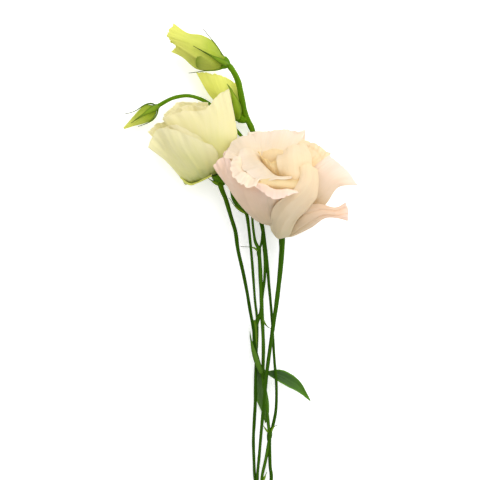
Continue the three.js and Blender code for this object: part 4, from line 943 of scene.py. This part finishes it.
# Each petal colour from root to rim, what a tone above zero multiplies it by, what a tone below zero turns
# it to (on the cream and half open petals a glow of painted light that shines through them, on the buds a
# deeper green toward the rim), the colour of the veins, and the share of light that passes through. Colours
# run from 0 to 255.
PETAL_LOOKS = {
    "outer_petal_tissue": {
        # The darker stops near the root are partly the outer petals' own duller green and partly painted
        # shade on their shaded lower parts
        "stops": [
            (0.0, (210, 204, 160)), (0.3, (230, 216, 184)), (0.6, (243, 229, 208)),
            (0.85, (253, 239, 224)), (1.0, (255, 243, 234)),
        ],
        "toned": (255, 244, 238), "glow": (255, 242, 206), "veins": (252, 240, 228), "through": 0.46,
    },
    "inner_petal_tissue": {
        "stops": [
            (0.0, (255, 232, 170)), (0.35, (255, 240, 204)), (0.7, (255, 244, 222)), (1.0, (255, 246, 232)),
        ],
        "toned": (255, 238, 226), "glow": (253, 236, 186), "veins": (254, 240, 220), "through": 0.45,
    },
    "half_open_petal_tissue": {
        "stops": [
            (0.0, (168, 184, 78)), (0.22, (182, 192, 94)), (0.48, (244, 242, 184)),
            (0.7, (252, 248, 210)), (1.0, (251, 246, 220)),
        ],
        "toned": (234, 243, 208), "glow": (255, 247, 150), "veins": (250, 250, 226), "through": 0.5,
    },
    "bud_petal_tissue": {
        "stops": [
            (0.0, (150, 180, 40)), (0.35, (196, 212, 76)), (0.7, (230, 234, 116)), (1.0, (240, 240, 130)),
        ],
        "toned": (220, 236, 150), "glow": (118, 150, 8), "veins": (228, 236, 160), "through": 0.34,
        "gloss": 0.1, "glow_rise": 1.6,
    },
    # The second bud's tissue is the bud tissue made lighter: painted light against the shade of the stem and
    # the half open bloom over it
    "second_bud_tissue_painted_lighter": {
        "stops": [
            (0.0, (170, 196, 60)), (0.35, (214, 226, 100)), (0.7, (242, 244, 140)), (1.0, (250, 250, 156)),
        ],
        "toned": (220, 236, 150), "glow": (118, 150, 8), "veins": (236, 242, 180), "through": 0.45,
        "gloss": 0.1, "glow_rise": 1.6,
    },
}
# Gloss, and the power by which a glow rises toward the rim, for the looks that name none
USUAL_GLOSS = 0.3
USUAL_GLOW_RISE = 1.0
# Scale of the noise in each material
PETAL_BLOTCHES = 110.0
STEM_SPECKS = 700.0
SEPAL_SPECKS = 600.0
LEAF_WAX = 260.0
FLOOR_CLOUDS = 6.0
# How fine the streaks are across and along a petal, stem or leaf
FAN_VEINS = (46.0, 2.2)
FINE_VEINS = (150.0, 5.0)
STEM_STREAKS = (16.0, 9.0)
LEAF_LINES = (15.0, 3.0)
# Depth of the relief, in metres
PETAL_RELIEF = 0.00022
STEM_RELIEF = 0.00018
SEPAL_RELIEF = 0.0001
LEAF_RELIEF = 0.0002
FLOOR_RELIEF = 0.00005
# Share of light that passes through
SEPAL_THROUGH = 0.12
LEAF_THROUGH = 0.15
# Heights, in metres up the spray, between which the stems turn from dark to light green
STEM_SHADES = (-0.02, 0.09)


class Tree:
    """Short calls for a material's nodes."""

    def __init__(self, name):
        self.material = bpy.data.materials.new(name)
        self.material.use_nodes = True
        self.nodes = self.material.node_tree.nodes
        self.links = self.material.node_tree.links
        self.shader = self.nodes["Principled BSDF"]
        self.output = self.nodes["Material Output"]

    def node(self, kind, settings=None, **inputs):
        made = self.nodes.new(kind)
        for key, value in (settings or {}).items():
            setattr(made, key, value)
        for key, value in inputs.items():
            self.put(made.inputs[key.replace("_", " ")], value)
        return made

    def put(self, socket, value):
        if isinstance(value, bpy.types.NodeSocket):
            self.links.new(value, socket)
        else:
            socket.default_value = value

    def set(self, **values):
        """Plain numbers and colours on the shader's own sockets."""
        for key, value in values.items():
            self.shader.inputs[key.replace("_", " ")].default_value = value

    def math(self, operation, a, b=0.0, clamp=False):
        made = self.nodes.new("ShaderNodeMath")
        made.operation = operation
        made.use_clamp = clamp
        self.put(made.inputs[0], a)
        self.put(made.inputs[1], b)
        return made.outputs[0]

    def plus(self, a, b, clamp=False):
        return self.math("ADD", a, b, clamp)

    def minus(self, a, b, clamp=False):
        return self.math("SUBTRACT", a, b, clamp)

    def times(self, a, b, clamp=False):
        return self.math("MULTIPLY", a, b, clamp)

    def above_zero(self, a):
        return self.math("MAXIMUM", a, 0.0)

    def below_zero(self, a):
        return self.above_zero(self.times(a, -1.0))

    def beyond(self, value, start, rate):
        """0 up to the start, then a rise at that rate to 1."""
        return self.times(self.minus(value, start, clamp=True), rate, clamp=True)

    def off_middle(self, across):
        """0 in the middle of a blade and 1 at both edges."""
        return self.times(self.math("ABSOLUTE", self.minus(across, 0.5)), 2.0)

    def mix(self, factor, a, b, blend="MIX"):
        made = self.nodes.new("ShaderNodeMix")
        made.data_type = "RGBA"
        made.blend_type = blend
        self.put(made.inputs[0], factor)
        self.put(made.inputs[6], a)
        self.put(made.inputs[7], b)
        return made.outputs[2]

    def ramp(self, factor, stops):
        made = self.nodes.new("ShaderNodeValToRGB")
        elements = made.color_ramp.elements
        while len(elements) < len(stops):
            elements.new(0.5)
        for element, (place, colour) in zip(elements, stops):
            element.position = place
            element.color = srgb(*colour)
        self.put(made.inputs[0], factor)
        return made.outputs[0]

    def grown(self):
        """Across, along and tone of the petal, leaf or stem at this point."""
        source = self.node("ShaderNodeAttribute", {"attribute_name": "grown"})
        parts = self.node("ShaderNodeSeparateXYZ", Vector=source.outputs["Vector"])
        return parts.outputs[0], parts.outputs[1], parts.outputs[2]

    def place(self):
        return self.node("ShaderNodeTexCoord").outputs["Object"]

    def noise(self, vector, scale, detail):
        return self.node("ShaderNodeTexNoise", Vector=vector, Scale=scale, Detail=detail).outputs["Fac"]

    def streaks(self, across, along_it, seed, counts, detail=2.0):
        """Noise drawn out along a petal, leaf or stem, another one for each seed."""
        x = self.times(across, counts[0])
        y = self.times(along_it, counts[1])
        return self.noise(self.node("ShaderNodeCombineXYZ", X=x, Y=y, Z=seed).outputs[0], 1.0, detail)

    def finish(self, colour, rough, bump, depth, through=0.0):
        """Colour, roughness and relief on the shader, with a share of light that passes through."""
        self.put(self.shader.inputs["Base Color"], colour)
        self.put(self.shader.inputs["Roughness"], rough)
        relief = self.node("ShaderNodeBump", Height=bump, Distance=depth, Strength=1.0)
        self.put(self.shader.inputs["Normal"], relief.outputs[0])
        if through:
            behind = self.node("ShaderNodeBsdfTranslucent", Color=colour)
            blend = self.nodes.new("ShaderNodeMixShader")
            blend.inputs[0].default_value = through
            self.links.new(self.shader.outputs[0], blend.inputs[1])
            self.links.new(behind.outputs[0], blend.inputs[2])
            self.links.new(blend.outputs[0], self.output.inputs["Surface"])
        return self.material


def petal_material(name):
    """Thin petal tissue: its colours from root to rim, fine fanned veins and soft blotches."""
    look = PETAL_LOOKS[name]
    gloss = look.get("gloss", USUAL_GLOSS)
    tree = Tree(name)
    across, along_petal, tone = tree.grown()
    blotch = tree.noise(tree.place(), PETAL_BLOTCHES, 3.0)
    fan = tree.streaks(across, along_petal, tone, FAN_VEINS)
    fine = tree.streaks(across, along_petal, tone, FINE_VEINS)
    height = tree.plus(along_petal, tree.times(tree.minus(blotch, 0.5), 0.35), clamp=True)
    base = tree.ramp(height, look["stops"])
    toned = tree.mix(tree.above_zero(tone), base, srgb(*look["toned"]), "MULTIPLY")
    # A tone below zero mixes in the glow toward the rim: on the cream and half open petals painted light
    # that shines through them, on the buds a deeper green
    rise = tree.math("POWER", along_petal, look.get("glow_rise", USUAL_GLOW_RISE))
    glowing = tree.mix(tree.times(tree.below_zero(tone), rise), toned, srgb(*look["glow"]))
    veins = tree.times(tree.beyond(fan, 0.42, 2.2), 0.3)
    streaked = tree.mix(veins, glowing, srgb(*look["veins"]), "MULTIPLY")
    mottled = tree.mix(tree.times(fine, 0.16), streaked, srgb(246, 238, 228), "MULTIPLY")
    relief = tree.plus(tree.times(fan, 0.7), tree.times(fine, 0.3))
    rough = tree.plus(0.5, tree.times(blotch, 0.25))
    tree.set(Sheen_Weight=0.8 * gloss, Sheen_Roughness=0.5, Specular_IOR_Level=gloss)
    return tree.finish(mottled, rough, relief, PETAL_RELIEF, look["through"])


def stem_material():
    """Ridged green skin, darker toward the foot of the spray, with darker streaks."""
    tree = Tree("stem_skin")
    around, along_stem, tone = tree.grown()
    place = tree.place()
    parts = tree.node("ShaderNodeSeparateXYZ", Vector=place)
    low, high = STEM_SHADES
    level = tree.node("ShaderNodeMapRange", Value=parts.outputs[1], From_Min=low, From_Max=high)
    streak = tree.streaks(around, along_stem, tone, STEM_STREAKS, 3.0)
    speck = tree.noise(place, STEM_SPECKS, 4.0)
    wander = tree.plus(level.outputs[0], tree.times(tree.minus(speck, 0.5), 0.25), clamp=True)
    base = tree.ramp(wander, [(0.0, (36, 72, 0)), (0.45, (50, 90, 2)), (1.0, (99, 139, 15))])
    paler = tree.mix(tree.times(tone, 0.6), base, srgb(98, 146, 34))
    bands = tree.times(tree.beyond(streak, 0.38, 3.4), 0.8)
    colour = tree.mix(bands, paler, srgb(150, 176, 90), "MULTIPLY")
    relief = tree.plus(tree.times(streak, 0.7), tree.times(speck, 0.3))
    tree.set(Specular_IOR_Level=0.03)
    return tree.finish(colour, tree.plus(0.34, tree.times(speck, 0.2)), relief, STEM_RELIEF)


def sepal_material():
    """Green blades with darker edges and tips that darken to brown, partly their own colour and partly
    painted shade. A tone above zero is fresher, one below zero deeper.
    """
    tree = Tree("sepal_skin")
    across, along_blade, tone = tree.grown()
    speck = tree.noise(tree.place(), SEPAL_SPECKS, 3.0)
    edge = tree.off_middle(across)
    # The dark stretch toward the tip is partly the blade's own brown and partly painted shade on the thin
    # tips
    usual = tree.ramp(along_blade, [
        (0.0, (108, 146, 22)), (0.5, (128, 162, 36)), (0.78, (76, 100, 18)), (1.0, (50, 42, 22)),
    ])
    fresh = tree.ramp(along_blade, [(0.0, (126, 160, 30)), (0.6, (152, 178, 48)), (1.0, (104, 132, 34))])
    pale = tree.mix(tree.above_zero(tone), usual, fresh)
    body = tree.mix(tree.below_zero(tone), pale, srgb(72, 112, 34))
    edged = tree.mix(tree.times(tree.math("POWER", edge, 3.0), 0.7), body, srgb(40, 72, 8))
    colour = tree.mix(tree.times(speck, 0.4), edged, srgb(190, 200, 150), "MULTIPLY")
    tree.set(Specular_IOR_Level=0.1)
    return tree.finish(colour, tree.plus(0.4, tree.times(speck, 0.2)), speck, SEPAL_RELIEF, SEPAL_THROUGH)


def leaf_material():
    """Blue-green leaf with a bloom of wax, paler long veins and yellow-green margins."""
    tree = Tree("leaf_skin")
    across, along_leaf, tone = tree.grown()
    wax = tree.noise(tree.place(), LEAF_WAX, 4.0)
    off_rib = tree.off_middle(across)
    rib = tree.minus(1.0, tree.times(off_rib, 14.0), clamp=True)
    lines = tree.streaks(off_rib, along_leaf, 0.0, LEAF_LINES)
    margin = tree.times(tree.beyond(off_rib, MARGIN_START, 6.0), 0.8)
    body = tree.mix(wax, srgb(38, 72, 24), srgb(68, 104, 54))
    # A tone above zero lightens the leaf toward a paler green: painted light against the shade of the stems
    # over the hanging leaf
    leaf_painted_lighter = tree.mix(tone, body, srgb(100, 136, 72))
    veined = tree.mix(tree.times(lines, 0.3), leaf_painted_lighter, srgb(86, 118, 54))
    ribbed = tree.mix(tree.times(rib, 0.25), veined, srgb(96, 132, 60))
    tip = tree.times(tree.math("POWER", along_leaf, 3.0), 0.8)
    bright = tree.math("MAXIMUM", margin, tip)
    colour = tree.mix(bright, ribbed, srgb(100, 156, 12))
    tree.set(Specular_IOR_Level=0.2)
    return tree.finish(colour, tree.plus(0.4, tree.times(wax, 0.25)), lines, LEAF_RELIEF, LEAF_THROUGH)


def floor_material():
    """Plain white floor with a little light of its own."""
    tree = Tree("pale_floor")
    cloud = tree.noise(tree.place(), FLOOR_CLOUDS, 2.0)
    colour = tree.mix(cloud, srgb(252, 252, 252), srgb(250, 250, 250))
    tree.set(Emission_Color=(1, 1, 1, 1), Emission_Strength=FLOOR_GLOW)
    return tree.finish(colour, 0.9, cloud, FLOOR_RELIEF)


# The stage

def area_light(name, place, size, power):
    """A square light that faces the spray."""
    data = bpy.data.lights.new(name, "AREA")
    data.shape = "SQUARE"
    data.size = size
    data.energy = power
    light = new_object(name, data)
    light.location = place
    aim = np.array(LIGHT_TARGET, float) - np.array(place, float)
    light.rotation_euler = Vector(aim).to_track_quat("-Z", "Y").to_euler()


def build_floor():
    mesh = bpy.data.meshes.new("floor")
    half = FLOOR_HALF
    corners = [(-half, -half, 0), (half, -half, 0), (half, half, 0), (-half, half, 0)]
    mesh.from_pydata(corners, [], [(0, 1, 2, 3)])
    mesh.materials.append(floor_material())
    floor = new_object("floor", mesh)
    floor.location.z = -FLOOR_DROP


def build_light():
    world = bpy.data.worlds.new("soft_studio")
    world.use_nodes = True
    background = world.node_tree.nodes["Background"]
    background.inputs["Color"].default_value = (1, 1, 1, 1)
    background.inputs["Strength"].default_value = WORLD_STRENGTH
    bpy.context.scene.world = world
    area_light("key", **KEY_LIGHT)
    area_light("fill", **FILL_LIGHT)
    bpy.context.scene.view_settings.view_transform = "Standard"


def build_camera():
    """The camera looks straight down on the spray, from far away as in the photograph."""
    data = bpy.data.cameras.new("camera")
    data.lens = LENS
    data.sensor_width = SENSOR
    distance = FRAME_WIDTH / SENSOR * LENS
    data.clip_end = 10 * distance * MM
    camera = new_object("camera", data)
    x, y, z = FRAME_CENTRE
    camera.location = (x * MM, y * MM, (z + distance) * MM)
    bpy.context.scene.camera = camera


def build_blooms():
    outer = petal_material("outer_petal_tissue")
    inner = petal_material("inner_petal_tissue")
    half_open = petal_material("half_open_petal_tissue")
    lime = petal_material("bud_petal_tissue")
    # The second bud's tissue is lighter: painted light against the shade over it
    lime_painted_lighter = petal_material("second_bud_tissue_painted_lighter")
    bloom = bloom_piece("open_bloom_outer_petals", outer, OPEN_OUTER_PETALS, OPEN, seed=11)
    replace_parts(bloom, "bloom_open")
    bloom_piece(
        "open_bloom_inner_petals", inner, OPEN_INNER_PETALS, OPEN, seed=12, with_core=False)
    half = bloom_piece("half_bloom_petals", half_open, HALF_PETALS, HALF, seed=13)
    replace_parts(half, "bloom_half")
    bloom_piece("half_bloom_rolled_edge", lime, HALF_EDGE, HALF, seed=16, with_core=False)
    top = bloom_piece("top_bud_petals", lime, TOP_PETALS, TOP, seed=14)
    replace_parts(top, "bud_top")
    second = bloom_piece("second_bud_petals", lime_painted_lighter, SECOND_PETALS, SECOND, seed=15)
    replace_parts(second, "bud_second")
    small = small_bud_piece(lime)
    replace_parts(small, "bud_small")


def build_greens():
    stems = stems_piece(stem_material(), seed=4)
    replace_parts(stems, "stems")
    sepals_piece(sepal_material())
    leaf = leaf_material()
    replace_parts(leaf_piece("right_leaf", LEAF_RIGHT, leaf, seed=6, tone=0.0), "leaf_right")
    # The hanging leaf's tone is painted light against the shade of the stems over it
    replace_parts(leaf_piece("hanging_leaf", LEAF_HANGING, leaf, seed=7, tone=0.7), "leaf_hanging")


build_blooms()
build_greens()
build_floor()
build_light()
build_camera()
